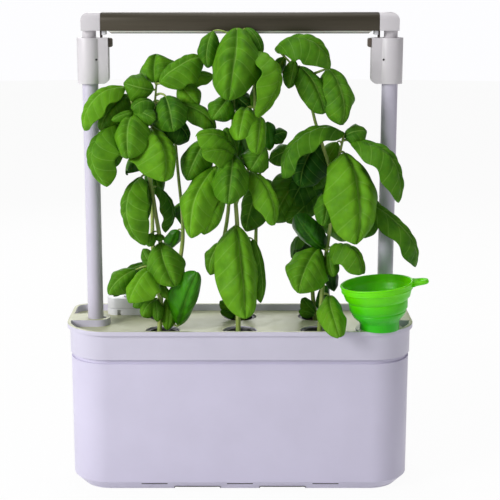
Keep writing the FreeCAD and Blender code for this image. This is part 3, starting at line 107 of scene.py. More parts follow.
class Graph:
    """A material's nodes, added one by one in front of its shader."""

    def __init__(self, name: str, roughness: float, metallic: float = 0.0) -> None:
        """Start a material with a plain shader."""
        self.material = bpy.data.materials.new(name + "_finish")
        self.material.use_nodes = True
        self.nodes = self.material.node_tree.nodes
        self.shader = self.nodes["Principled BSDF"]
        self.set("Roughness", roughness)
        self.set("Metallic", metallic)

    def set(self, socket: str, value: float | Colour) -> None:
        """Give one of the shader's sockets a plain value."""
        plain = (*value, 1.0) if isinstance(value, tuple) else value
        self.shader.inputs[socket].default_value = plain

    def link(self, source: bpy.types.NodeSocket, target: bpy.types.NodeSocket) -> None:
        """Join two sockets."""
        self.material.node_tree.links.new(source, target)

    def add(self, kind: str, inputs: dict | None = None, **settings: object) -> bpy.types.Node:
        """Add a node.

        Args:
            kind: The node's type without its common prefix.
            inputs: Values or sockets for its inputs, by name or number.
            settings: Properties of the node itself.

        Returns:
            The new node.
        """
        node = self.nodes.new("ShaderNode" + kind)
        for name, value in settings.items():
            setattr(node, name, value)
        for name, value in (inputs or {}).items():
            if isinstance(value, bpy.types.NodeSocket):
                self.link(value, node.inputs[name])
            else:
                node.inputs[name].default_value = value
        return node

    def place(self, stretch: Sequence[float] = (1.0, 1.0, 1.0)) -> bpy.types.NodeSocket:
        """Return the surface's own coordinates in metres, stretched along the axes."""
        spot = self.add("TexCoord").outputs["Object"]
        return self.add("Mapping", {"Vector": spot, "Scale": tuple(stretch)}).outputs["Vector"]

    def noise(self, size: float, detail: float = 3.0,
              spot: bpy.types.NodeSocket | None = None) -> bpy.types.NodeSocket:
        """Return cloudy noise whose blots are about a size in metres."""
        values = {"Vector": spot or self.place(), "Scale": 1.0 / size, "Detail": detail}
        return self.add("TexNoise", values).outputs["Fac"]

    def cells(self, scale: float, feature: str = "F1") -> bpy.types.NodeSocket:
        """Return the distance to the nearest of many scattered points."""
        values = {"Vector": self.place(), "Scale": scale}
        return self.add("TexVoronoi", values, feature=feature).outputs["Distance"]

    def span(self, value: bpy.types.NodeSocket, low: float, high: float, to_low: float = 0.0,
             to_high: float = 1.0) -> bpy.types.NodeSocket:
        """Map one range of a value on to another and hold its ends."""
        limits = {"Value": value, "From Min": low, "From Max": high, "To Min": to_low, "To Max": to_high}
        return self.add("MapRange", limits).outputs["Result"]

    def math(self, operation: str, *values: object) -> bpy.types.NodeSocket:
        """Return the result of a sum on one or more values."""
        return self.add("Math", dict(enumerate(values)), operation=operation).outputs[0]

    def mix(self, share: object, first: object, second: object) -> bpy.types.NodeSocket:
        """Blend two colours."""
        values = {0: share}
        for index, colour in ((6, first), (7, second)):
            values[index] = (*colour, 1.0) if isinstance(colour, tuple) else colour
        return self.add("Mix", values, data_type="RGBA").outputs[2]

    def bump(self, height: bpy.types.NodeSocket, depth: float, strength: float = 1.0,
             under: bpy.types.NodeSocket | None = None) -> bpy.types.NodeSocket:
        """Return a normal that shows a height of a depth in metres."""
        values = {"Height": height, "Distance": depth, "Strength": strength}
        if under:
            values["Normal"] = under
        return self.add("Bump", values).outputs["Normal"]

    def paint(self, colour: bpy.types.NodeSocket) -> None:
        """Give the shader its colour."""
        self.link(colour, self.shader.inputs["Base Color"])

    def vary(self, share: bpy.types.NodeSocket, colour: Colour, swing: float) -> None:
        """Give the shader a colour that gets darker and paler by a swing."""
        self.paint(self.mix(share, scaled(colour, 1.0 - swing), scaled(colour, 1.0 + swing)))

    def scatter(self, weight: float, reach: float) -> None:
        """Let light scatter under the surface over a reach in metres."""
        self.set("Subsurface Weight", weight)
        self.set("Subsurface Scale", reach)

    def roughen(self, value: bpy.types.NodeSocket) -> None:
        """Give the shader its roughness."""
        self.link(value, self.shader.inputs["Roughness"])

    def relief(self, normal: bpy.types.NodeSocket) -> None:
        """Give the shader its normal."""
        self.link(normal, self.shader.inputs["Normal"])


@dataclass(frozen=True)
class Moulded:
    """Moulded plastic or rubber: cloudy tone, fine grain and faint rubbed streaks."""

    name: str
    colour: Colour
    roughness: float = 0.35
    mottle: float = 0.05
    grain: float = 0.0009
    relief: float = 0.00002
    coat: float = 0.0
    softness: float = 0.0

    def make(self) -> bpy.types.Material:
        """Build the material."""
        graph = Graph(self.name, self.roughness)
        clouds = graph.span(graph.noise(0.06, 4.0), 0.3, 0.7)
        graph.vary(clouds, self.colour, self.mottle)
        rubbed = graph.noise(0.012, 6.0, graph.place((1.0, 1.0, 0.25)))
        graph.roughen(graph.span(rubbed, 0.25, 0.75, self.roughness * 0.82, self.roughness * 1.22))
        pebble = graph.cells(1.0 / self.grain)
        wave = graph.bump(graph.noise(0.02, 2.0), self.relief * 3.0)
        graph.relief(graph.bump(pebble, self.relief, 1.0, wave))
        graph.set("Coat Weight", self.coat)
        graph.set("Coat Roughness", 0.12)
        graph.scatter(self.softness, 0.004)
        return graph.material


@dataclass(frozen=True)
class Silicone:
    """Glossy translucent silicone, painted lighter towards its brim and darker towards its foot as painted
    light and shade.
    """

    name: str
    shaded_colour: Colour
    bright: Colour
    foot: float = 0.206
    brim: float = 0.246

    def make(self) -> bpy.types.Material:
        """Build the material."""
        graph = Graph(self.name, 0.36)
        height = graph.add("SeparateXYZ", {0: graph.place()}).outputs["Z"]
        clouds = graph.span(graph.noise(0.02, 4.0), 0.3, 0.7, -0.08, 0.08)
        # painted light through the translucent top and painted shade lower down, mixed by height
        share = graph.math("ADD", graph.span(height, self.foot, self.brim), clouds)
        graph.paint(graph.mix(graph.span(share, 0.0, 1.0), self.shaded_colour, self.bright))
        graph.roughen(graph.span(graph.noise(0.008, 5.0), 0.3, 0.7, 0.3, 0.44))
        graph.relief(graph.bump(graph.noise(0.0012, 4.0), 0.00004))
        graph.set("Specular IOR Level", 0.3)
        graph.scatter(0.12, 0.004)
        return graph.material


@dataclass(frozen=True)
class DrawnMetal:
    """Metal drawn or turned along one axis, with fine lines and a soft sheen."""

    name: str
    colour: Colour
    roughness: float
    metallic: float
    along: Sequence[float]
    contrast: float = 0.14
    gloss: float = 0.5

    def make(self) -> bpy.types.Material:
        """Build the material."""
        graph = Graph(self.name, self.roughness, self.metallic)
        lines = graph.noise(0.0007, 2.0, graph.place(self.along))
        bands = graph.noise(0.006, 3.0, graph.place(self.along))
        both = graph.math("ADD", graph.math("MULTIPLY", lines, 0.6), graph.math("MULTIPLY", bands, 0.4))
        share = graph.span(both, 0.35, 0.65)
        graph.vary(share, self.colour, self.contrast)
        graph.roughen(graph.span(both, 0.3, 0.7, self.roughness * 0.8, self.roughness * 1.25))
        graph.relief(graph.bump(lines, 0.00001))
        graph.set("Specular IOR Level", self.gloss)
        return graph.material


@dataclass(frozen=True)
class LeafSkin:
    """A basil leaf's upper or lower skin, with a pale midrib and pale side veins."""

    name: str
    dark: Colour
    bright: Colour
    vein: Colour
    roughness: float
    vein_share: float
    gloss: float

    def make(self) -> bpy.types.Material:
        """Build the material from the leaf's own map: U along the midrib, V across it."""
        graph = Graph(self.name, self.roughness)
        chart = graph.add("SeparateXYZ", {0: graph.add("TexCoord").outputs["UV"]})
        along, across = chart.outputs["X"], chart.outputs["Y"]
        away = graph.math("ABSOLUTE", graph.math("SUBTRACT", across, 0.5))
        slant = graph.math("SUBTRACT", along, graph.math("MULTIPLY", away, LeafShape.VEIN_SLANT * 2.0))
        turn = graph.math("MULTIPLY", slant, math.pi * LeafShape.VEINS)
        wave = graph.math("ABSOLUTE", graph.math("SINE", turn))
        side_vein = graph.span(wave, 0.0, 0.2, 0.6, 0.0)
        midrib = graph.span(away, 0.01, 0.035, 1.0, 0.0)
        veins = graph.math("MULTIPLY", graph.math("MAXIMUM", midrib, side_vein), self.vein_share)
        # the tone layer mixes each leaf's own tone with painted light and shade: darker for leaves in the
        # shade of others
        tone = graph.add("Attribute", attribute_name="tone").outputs["Fac"]
        blots = graph.span(graph.noise(0.012, 4.0), 0.3, 0.7, -0.14, 0.14)
        share = graph.math("ADD", tone, blots)
        flesh = graph.mix(graph.span(share, 0.0, 1.0), self.dark, self.bright)
        graph.paint(graph.mix(veins, flesh, self.vein))
        worn = graph.noise(0.004, 3.0)
        graph.roughen(graph.span(worn, 0.3, 0.7, self.roughness * 0.85, self.roughness * 1.3))
        netted = graph.bump(graph.cells(420.0, "SMOOTH_F1"), 0.00015, 0.6)
        graph.relief(graph.bump(side_vein, 0.0003, 0.5, netted))
        graph.set("Specular IOR Level", self.gloss)
        graph.scatter(0.05, 0.002)
        return graph.material


@dataclass(frozen=True)
class StemSkin:
    """A stem's skin: long pale fibres over green."""

    name: str
    pale: Colour
    green: Colour
    roughness: float = 0.45

    def make(self) -> bpy.types.Material:
        """Build the material."""
        graph = Graph(self.name, self.roughness)
        fibres = graph.noise(0.0016, 3.0, graph.place((1.0, 1.0, 0.06)))
        clouds = graph.noise(0.03, 3.0)
        share = graph.math("ADD", graph.math("MULTIPLY", fibres, 0.5), graph.math("MULTIPLY", clouds, 0.5))
        graph.paint(graph.mix(graph.span(share, 0.38, 0.62), self.green, self.pale))
        graph.relief(graph.bump(fibres, 0.00015))
        graph.scatter(0.1, 0.002)
        return graph.material


@dataclass(frozen=True)
class PeatFoam:
    """Damp peat foam with open pores painted dark as painted shade, and paler crumbs."""

    name: str
    colour: Colour

    def make(self) -> bpy.types.Material:
        """Build the material."""
        graph = Graph(self.name, 0.9)
        pores = graph.cells(700.0)
        crumbs = graph.noise(0.003, 5.0)
        # pores painted darker as painted shade in their hollows; crumbs paler by their own tone
        tone_and_light = graph.math("MULTIPLY", graph.span(pores, 0.05, 0.5), graph.span(crumbs, 0.3, 0.7))
        graph.paint(graph.mix(tone_and_light, scaled(self.colour, 0.35), scaled(self.colour, 1.7)))
        graph.relief(graph.bump(pores, 0.0006))
        return graph.material


class Finish(Enum):
    """The planter's finishes."""

    TANK = Moulded("tank_plastic", srgb(212, 207, 229), 0.38, 0.03, 0.0007, 0.000012)
    LID = Moulded("lid_plastic", srgb(210, 206, 224), 0.38, 0.03, 0.0007, 0.000012)
    # the upper faces' greenish tint is painted light bounced off the leaves, not a colour of the plastic
    DECK_LEAF_BOUNCE = Moulded("deck_leaf_bounce", srgb(196, 198, 164), 0.42, 0.04, 0.0008, 0.000015)
    CAP = Moulded("cap_plastic", srgb(214, 210, 214), 0.36, 0.03, 0.0006, 0.00001)
    WHITE = Moulded("white_plastic", srgb(224, 224, 228), 0.34, 0.03, 0.0006, 0.00001, coat=0.2)
    BUTTON = Moulded("button_plastic", srgb(158, 158, 164), 0.3, 0.04, 0.0005, 0.00001, coat=0.2)
    BLACK = Moulded("black_plastic", srgb(22, 22, 23), 0.45, 0.12, 0.0008, 0.00003)
    PUMP = Moulded("pump_plastic", srgb(34, 35, 38), 0.4, 0.1, 0.0009, 0.00004)
    FOOT = Moulded("foot_rubber", srgb(40, 40, 41), 0.75, 0.1, 0.0006, 0.00005)
    FLOAT = Moulded("float_foam", srgb(238, 120, 38), 0.7, 0.08, 0.0012, 0.00012)
    STRIP = Moulded("strip_plastic", srgb(58, 46, 42), 0.5, 0.1, 0.0006, 0.00003)
    COVER = Moulded("frosted_cover", srgb(222, 222, 210), 0.5, 0.02, 0.0005, 0.00001, softness=0.1)
    COVER_RIM = Moulded("cover_rim", srgb(112, 112, 106), 0.5, 0.05, 0.0005, 0.00001)
    BOARD = Moulded("board_lacquer", srgb(236, 236, 230), 0.4, 0.03, 0.0005, 0.00001)
    CHIP = Moulded("chip_phosphor", srgb(238, 205, 80), 0.6, 0.08, 0.0004, 0.00002)
    SILICONE = Silicone("funnel_silicone", srgb(40, 186, 0), srgb(116, 236, 0))
    LATCH = Moulded("latch_plastic", srgb(96, 86, 78), 0.5, 0.08, 0.0006, 0.00002)
    POST = Moulded("post_tube", srgb(207, 202, 219), 0.42, 0.02, 0.0006, 0.000006)
    LAMP = DrawnMetal("lamp_metal", srgb(72, 66, 54), 0.42, 0.3, (0.01, 1.0, 1.0), 0.1, 0.35)
    SCREW = DrawnMetal("screw_steel", srgb(40, 40, 42), 0.45, 0.5, (1.0, 1.0, 1.0))
    # the dark end of the leaf range serves as painted shade for leaves deep in the plant
    LEAF_TOP = LeafSkin("leaf_upper", srgb(2, 40, 0), srgb(76, 172, 0), srgb(130, 196, 50), 0.38, 0.12, 0.2)
    LEAF_UNDER = LeafSkin("leaf_lower", srgb(26, 80, 6), srgb(110, 172, 26), srgb(150, 196, 90), 0.6, 0.4,
                          0.15)
    STEM = StemSkin("basil_stem", srgb(176, 192, 104), srgb(122, 156, 58))
    PEAT = PeatFoam("peat_foam", srgb(70, 52, 36))

    @property
    def material(self) -> bpy.types.Material:
        """Return the finish's material, built the first time it is asked for."""
        return bpy.data.materials.get(self.value.name + "_finish") or self.value.make()


def node_form(node: str) -> bmesh.types.BMesh:
    """Copy a CAD node into a bmesh whose flat faces are whole again.

    Args:
        node: The CAD node's name.

    Returns:
        The copy, welded and with its flat triangles joined.
    """
    form = bmesh.new()
    form.from_mesh(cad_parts[node].data)
    bmesh.ops.remove_doubles(form, verts=form.verts, dist=0.00001)
    bmesh.ops.dissolve_limit(form, angle_limit=math.radians(0.5), verts=form.verts, edges=form.edges)
    return form


def ends(node: str) -> tuple[Vector, Vector]:
    """Return the least and the greatest corner of a CAD node's box."""
    low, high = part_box(node)
    return Vector(low), Vector(high)


def axis_foot(low: Vector, high: Vector) -> Vector:
    """Return the foot of the upright axis through the middle of a box."""
    return Vector(((low.x + high.x) / 2.0, (low.y + high.y) / 2.0, low.z))


def held(value: float, low: float, high: float) -> float:
    """Return a value held between two limits."""
    return max(low, min(high, value))


def soften(form: bmesh.types.BMesh, width: float, segments: int = 3, sharp: float = 34.0) -> None:
    """Round a form's sharp edges.

    Args:
        form: The form to change.
        width: The width of the rounding in metres.
        segments: How many faces the rounding has across it.
        sharp: The least angle of an edge that is rounded, in degrees.
    """
    edges = [edge for edge in form.edges if edge.is_manifold and edge.calc_face_angle() > math.radians(sharp)]
    bmesh.ops.bevel(form, geom=edges, offset=width, offset_type="OFFSET", segments=segments, profile=0.5,
                    affect="EDGES", clamp_overlap=True, material=-1)


def spun(profile: Iterable[tuple[float, float]], axis: Vector, steps: int = 72) -> bmesh.types.BMesh:
    """Turn an open half section about an upright axis.

    Args:
        profile: Radius and height of each point, in metres, the outside going up.
        axis: The foot of the axis.
        steps: Faces round the turn.

    Returns:
        The turned skin.
    """
    form = bmesh.new()
    points = [form.verts.new(axis + Vector((radius, 0.0, height))) for radius, height in profile]
    edges = [form.edges.new(pair) for pair in zip(points, points[1:])]
    bmesh.ops.spin(form, geom=points + edges, cent=axis, axis=UP, angle=2.0 * math.pi, steps=steps,
                   use_merge=True, use_duplicate=False)
    bmesh.ops.remove_doubles(form, verts=form.verts, dist=0.000005)
    bmesh.ops.recalc_face_normals(form, faces=form.faces)
    return form


def rounded_run(corners: Sequence[tuple[float, float]], radius: float,
                steps: int = 4) -> list[tuple[float, float]]:
    """Round the inner corners of a run of points.

    Args:
        corners: The run's corners.
        radius: How far from a corner its rounding starts.
        steps: Points added in each rounding.

    Returns:
        The run with its corners rounded.
    """
    run = [corners[0]]
    for before, corner, after in zip(corners, corners[1:], corners[2:]):
        spot, back, on = Vector(corner), Vector(before), Vector(after)
        reach = min(radius, 0.45 * (spot - back).length, 0.45 * (on - spot).length)
        first = spot + (back - spot).normalized() * reach
        last = spot + (on - spot).normalized() * reach
        for step in range(steps + 1):
            share = step / steps
            point = first.lerp(spot, share).lerp(spot.lerp(last, share), share)
            run.append((point.x, point.y))
    return run + [corners[-1]]


def add_tube(form: bmesh.types.BMesh, points: Sequence[Vector], radii: Sequence[float]) -> None:
    """Add a closed, tapered tube along a smooth line through points.

    Args:
        form: The form that takes the tube.
        points: The points that the line passes through.
        radii: The tube's radius at each point.
    """
    data = bpy.data.curves.new("line", "CURVE")
    data.dimensions = "3D"
    data.bevel_depth = 1.0
    data.bevel_resolution = 3
    data.use_fill_caps = True
    data.resolution_u = 6
    line = data.splines.new("BEZIER")
    line.bezier_points.add(len(points) - 1)
    for knot, point, radius in zip(line.bezier_points, points, radii):
        knot.co = point
        knot.radius = radius
        knot.handle_left_type = knot.handle_right_type = "AUTO"
    holder = bpy.data.objects.new("line", data)
    mesh = bpy.data.meshes.new_from_object(holder)
    form.from_mesh(mesh)
    bpy.data.objects.remove(holder)
    bpy.data.curves.remove(data)
    bpy.data.meshes.remove(mesh)


def add_piece(name: str, form: bmesh.types.BMesh, body: Body, finishes: Sequence[Finish],
              stands_for: Sequence[str] = (), smooth: float = 32.0) -> bpy.types.Object:
    """Make a piece from a form, dress it and let it ride on a body.

    Args:
        name: The piece's name.
        form: Its shape, freed afterwards.
        body: The body that carries it.
        finishes: The finish of each material index.
        stands_for: The CAD nodes that it replaces.
        smooth: The angle in degrees below which an edge is shaded smooth.

    Returns:
        The new object.
    """
    mesh = bpy.data.meshes.new(name)
    form.to_mesh(mesh)
    form.free()
    mesh.shade_smooth()
    mesh.set_sharp_from_angle(angle=math.radians(smooth))
    for finish in finishes:
        mesh.materials.append(finish.material)
    piece = bpy.data.objects.new(name, mesh)
    bpy.context.scene.collection.objects.link(piece)
    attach(piece, body.value)
    if stands_for:
        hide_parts(*stands_for)
    LOG.info("%s: %d faces on %s", name, len(mesh.polygons), body.value)
    return piece


def refine(node: str, body: Body, finish: Finish, width: float, segments: int = 3) -> bpy.types.Object:
    """Replace a hard CAD node with a copy whose edges are rounded.

    Args:
        node: The CAD node.
        body: The body that carries it.
        finish: Its finish.
        width: The width of the rounding in metres.
        segments: How many faces the rounding has across it.

    Returns:
        The new object.
    """
    form = node_form(node)
    soften(form, width, segments)
    return add_piece(node + "_finished", form, body, [finish], [node])


@dataclass
class Tub:
    """The water tank with its feet and pump."""

    edge: float = 1.1 * MM
    small_edge: float = 0.35 * MM
    vents: tuple[float, ...] = (-99.0 * MM, 0.0, 99.0 * MM)
    vent_half: float = 15.2 * MM
    vent_back: float = -57.9 * MM
    vent_middle: float = 10.3 * MM
    vent_slack: float = 1.0 * MM
    grips: tuple[float, ...] = (-49.5 * MM, 49.5 * MM)
    grip_half: float = 26.5 * MM
    grip_back: float = -47.0 * MM
    grip_top: float = 4.5 * MM
    grip_slack: Point = (1.0 * MM, 2.2 * MM, 0.1 * MM)
    bevel_foot: float = -48.0 * MM
    bead: float = 0.6 * MM
    bead_sink: float = 0.2 * MM
    bead_foot: float = 1.4 * MM
    bead_bend: float = 0.8 * MM
    bead_run: float = 6.0 * MM

    def build(self) -> None:
        """Build the tank's pieces."""
        self.shell()
        self.shade_line()
        for node, finish in (("tank_feet", Finish.FOOT), ("pump_body", Finish.PUMP),
                             ("pump_intake_cover", Finish.PUMP), ("pump_suction_feet", Finish.FOOT)):
            refine(node, Body.TANK, finish, self.small_edge)

    def vented(self, spot: Vector) -> bool:
        """Return whether a spot lies inside one of the three slots."""
        off = max(abs(spot.y - self.vent_back), abs(spot.z - self.vent_middle))
        return off < self.vent_slack and any(abs(spot.x - x) < self.vent_half for x in self.vents)

    def gripped(self, spot: Vector) -> bool:
        """Return whether a spot lies inside one of the finger recesses."""
        aside, behind, above = self.grip_slack
        level = abs(spot.y - self.grip_back) < behind and spot.z < self.grip_top + above
        return level and any(abs(spot.x - x) < self.grip_half + aside for x in self.grips)

    def shell(self) -> None:
        """Build the tank, with the faces inside its slots and finger recesses painted black as painted shade.
        """
        form = node_form("tank_shell")
        for face in form.faces:
            spot = face.calc_center_median()
            # black faces inside the slots and finger recesses: painted shade
            face.material_index = int(self.vented(spot) or self.gripped(spot))
        soften(form, self.edge)
        add_piece("tank_shell_finished", form, Body.TANK, [Finish.TANK, Finish.BLACK],
                  ["tank_shell"])

    def shade_line(self) -> None:
        """Build black beads along the upper edges of the finger recesses, a painted shade line."""
        form = bmesh.new()
        top, wide = self.grip_top, self.grip_half
        half = [(wide, self.bead_foot), (wide, top - self.bead_bend), (wide - self.bead_bend, top),
                (wide - self.bead_run, top)]
        run = [(-reach, height) for reach, height in half] + half[::-1]
        tip = self.bead * 0.5
        for middle in self.grips:
            points = [Vector((middle + x, self.bevel_foot - z - self.bead_sink, z)) for x, z in run]
            add_tube(form, points, [tip] + [self.bead] * (len(points) - 2) + [tip])
        # the black beads paint the shade line under each recess's upper edge
        add_piece("finger_recess_shade_line", form, Body.TANK, [Finish.BLACK])


@dataclass
class Lid:
    """The lid with its control housing, posts and sleeves."""

    edge: float = 0.9 * MM
    soft_edge: float = 0.8 * MM
    small_edge: float = 0.5 * MM
    fine_edge: float = 0.25 * MM
    screw_edge: float = 0.15 * MM
    post_bore: float = 7.75 * MM
    post_rounding: float = 0.4 * MM
    post_steps: int = 96
    deck_drop: float = 9.0 * MM
    deck_depth: float = 8.0 * MM
    upward: float = 0.6

    def build(self) -> None:
        """Build the lid's pieces."""
        self.moulding()
        for side in Side:
            self.post(side)
            refine(side.word + "_sleeve", Body.LID, Finish.CAP, self.edge)
        refine("sleeve_set_screws", Body.LID, Finish.SCREW, self.screw_edge, 2)
        refine("control_base", Body.LID, Finish.WHITE, self.small_edge)
        refine("control_cover", Body.LID, Finish.WHITE, self.soft_edge)
        refine("power_button", Body.BUTTON, Finish.BUTTON, self.small_edge)
        refine("power_inlet", Body.LID, Finish.BLACK, self.fine_edge)
        refine("float_guide", Body.LID, Finish.WHITE, self.fine_edge)
        refine("level_float", Body.FLOAT, Finish.FLOAT, self.soft_edge)

    def post(self, side: Side) -> None:
        """Build one tubular post, turned about its axis.

        Args:
            side: The end of the planter where it stands.
        """
        node = side.word + "_post"
        low, high = ends(node)
        outer, bore, tall = (high.x - low.x) / 2.0, self.post_bore, high.z - low.z
        run = [(outer, tall / 2.0), (outer, tall), (bore, tall), (bore, 0.0), (outer, 0.0)]
        form = spun(rounded_run(run + run[:1], self.post_rounding), axis_foot(low, high), self.post_steps)
        add_piece(node + "_finished", form, Body.LID, [Finish.POST], [node])

    def moulding(self) -> None:
        """Build the lid's moulding, its upper faces in a greenish finish that paints the light bounced off
        the leaves.
        """
        form = node_form("lid_moulding")
        soften(form, self.edge)
        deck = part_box("lid_moulding")[1][2] - self.deck_drop
        for face in form.faces:
            if face.normal.z > self.upward and face.calc_center_median().z > deck - self.deck_depth:
                # upper faces take the greenish finish: painted light bounced off the leaves
                face.material_index = 1
        add_piece("lid_finished", form, Body.LID, [Finish.LID, Finish.DECK_LEAF_BOUNCE], ["lid_moulding"])


@dataclass
class Lamp:
    """The lamp with its end caps and lock strips, and the sliders that lock it."""

    housing_edge: float = 0.3 * MM
    board_edge: float = 0.15 * MM
    cap_edge: float = 0.8 * MM
    strip_edge: float = 0.2 * MM
    slider_edge: float = 0.3 * MM
    cover_edge: float = 0.25 * MM
    cover_rim: float = 1.1 * MM
    clip_edge: float = 0.5 * MM
    clip_size: Point = (4.0 * MM, 19.0 * MM, 5.0 * MM)
    clip_inset: float = 3.0 * MM
    clip_sink: float = 0.2 * MM

    def build(self) -> None:
        """Build the lamp's pieces."""
        refine("lamp_housing", Body.LAMP, Finish.LAMP, self.housing_edge, 2)
        refine("light_board", Body.LAMP, Finish.BOARD, self.board_edge, 2)
        refine("light_chips", Body.LAMP, Finish.CHIP, self.board_edge, 2)
        self.diffuser()
        for side, lock in ((Side.LEFT, Body.LEFT_LOCK), (Side.RIGHT, Body.RIGHT_LOCK)):
            refine(side.word + "_lamp_elbow", Body.LAMP, Finish.CAP, self.cap_edge)
            refine(side.word + "_lock_strip", Body.LAMP, Finish.STRIP, self.strip_edge, 2)
            refine(side.word + "_lock_slider", lock, Finish.LATCH, self.slider_edge)
            self.clip(side)

    def clip(self, side: Side) -> None:
        """Build the pale clip that holds one end of the diffuser under the housing.

        Args:
            side: The end of the lamp where it sits.
        """
        low, high = ends("lamp_housing")
        end = high.x if side is Side.RIGHT else -low.x
        form = bmesh.new()
        bmesh.ops.create_cube(form, size=1.0)
        bmesh.ops.scale(form, vec=self.clip_size, verts=form.verts)
        height = low.z + self.clip_sink - self.clip_size[2] / 2.0
        middle = Vector((side.value * (end - self.clip_inset), 0.0, height))
        bmesh.ops.translate(form, vec=middle, verts=form.verts)
        soften(form, self.clip_edge)
        add_piece(side.word + "_diffuser_clip", form, Body.LAMP, [Finish.WHITE])

    def diffuser(self) -> None:
        """Build the frosted cover, darker along its lower rim."""
        form = node_form("lamp_diffuser")
        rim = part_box("lamp_diffuser")[0][2] + self.cover_rim
        parts = form.verts[:] + form.edges[:] + form.faces[:]
        bmesh.ops.bisect_plane(form, geom=parts, plane_co=(0.0, 0.0, rim), plane_no=UP)
        for face in form.faces:
            face.material_index = int(face.calc_center_median().z < rim)
        soften(form, self.cover_edge)
        add_piece("lamp_diffuser_finished", form, Body.LAMP, [Finish.COVER, Finish.COVER_RIM],
                  ["lamp_diffuser"])


@dataclass(frozen=True)
class Leaf:
    """A leaf between two points, in millimetres from the plant's foot.

    It bows out along its facing by a rise, and has a width. Its lightness runs from 0 for
    the darkest leaves to 1 for the palest: partly the leaf's own tone and partly painted
    light and shade, darker where it lies in the shade of other leaves.
    """

    base: Point
    tip: Point
    facing: Point
    rise: float
    width: float
    tone_and_light: float


@dataclass(frozen=True)
class Plant:
    """A plant's stems, each a run of points in millimetres, and its leaves."""

    stems: list[list[Point]]
    leaves: list[Leaf]

    @classmethod
    def of(cls, stems: list[list[Point]], *rows: tuple[Point, Point, Point, float, float, float]) -> "Plant":
        """Return a plant with its stems and a leaf for each row of a leaf's values."""
        return cls(stems, [Leaf(*row) for row in rows])


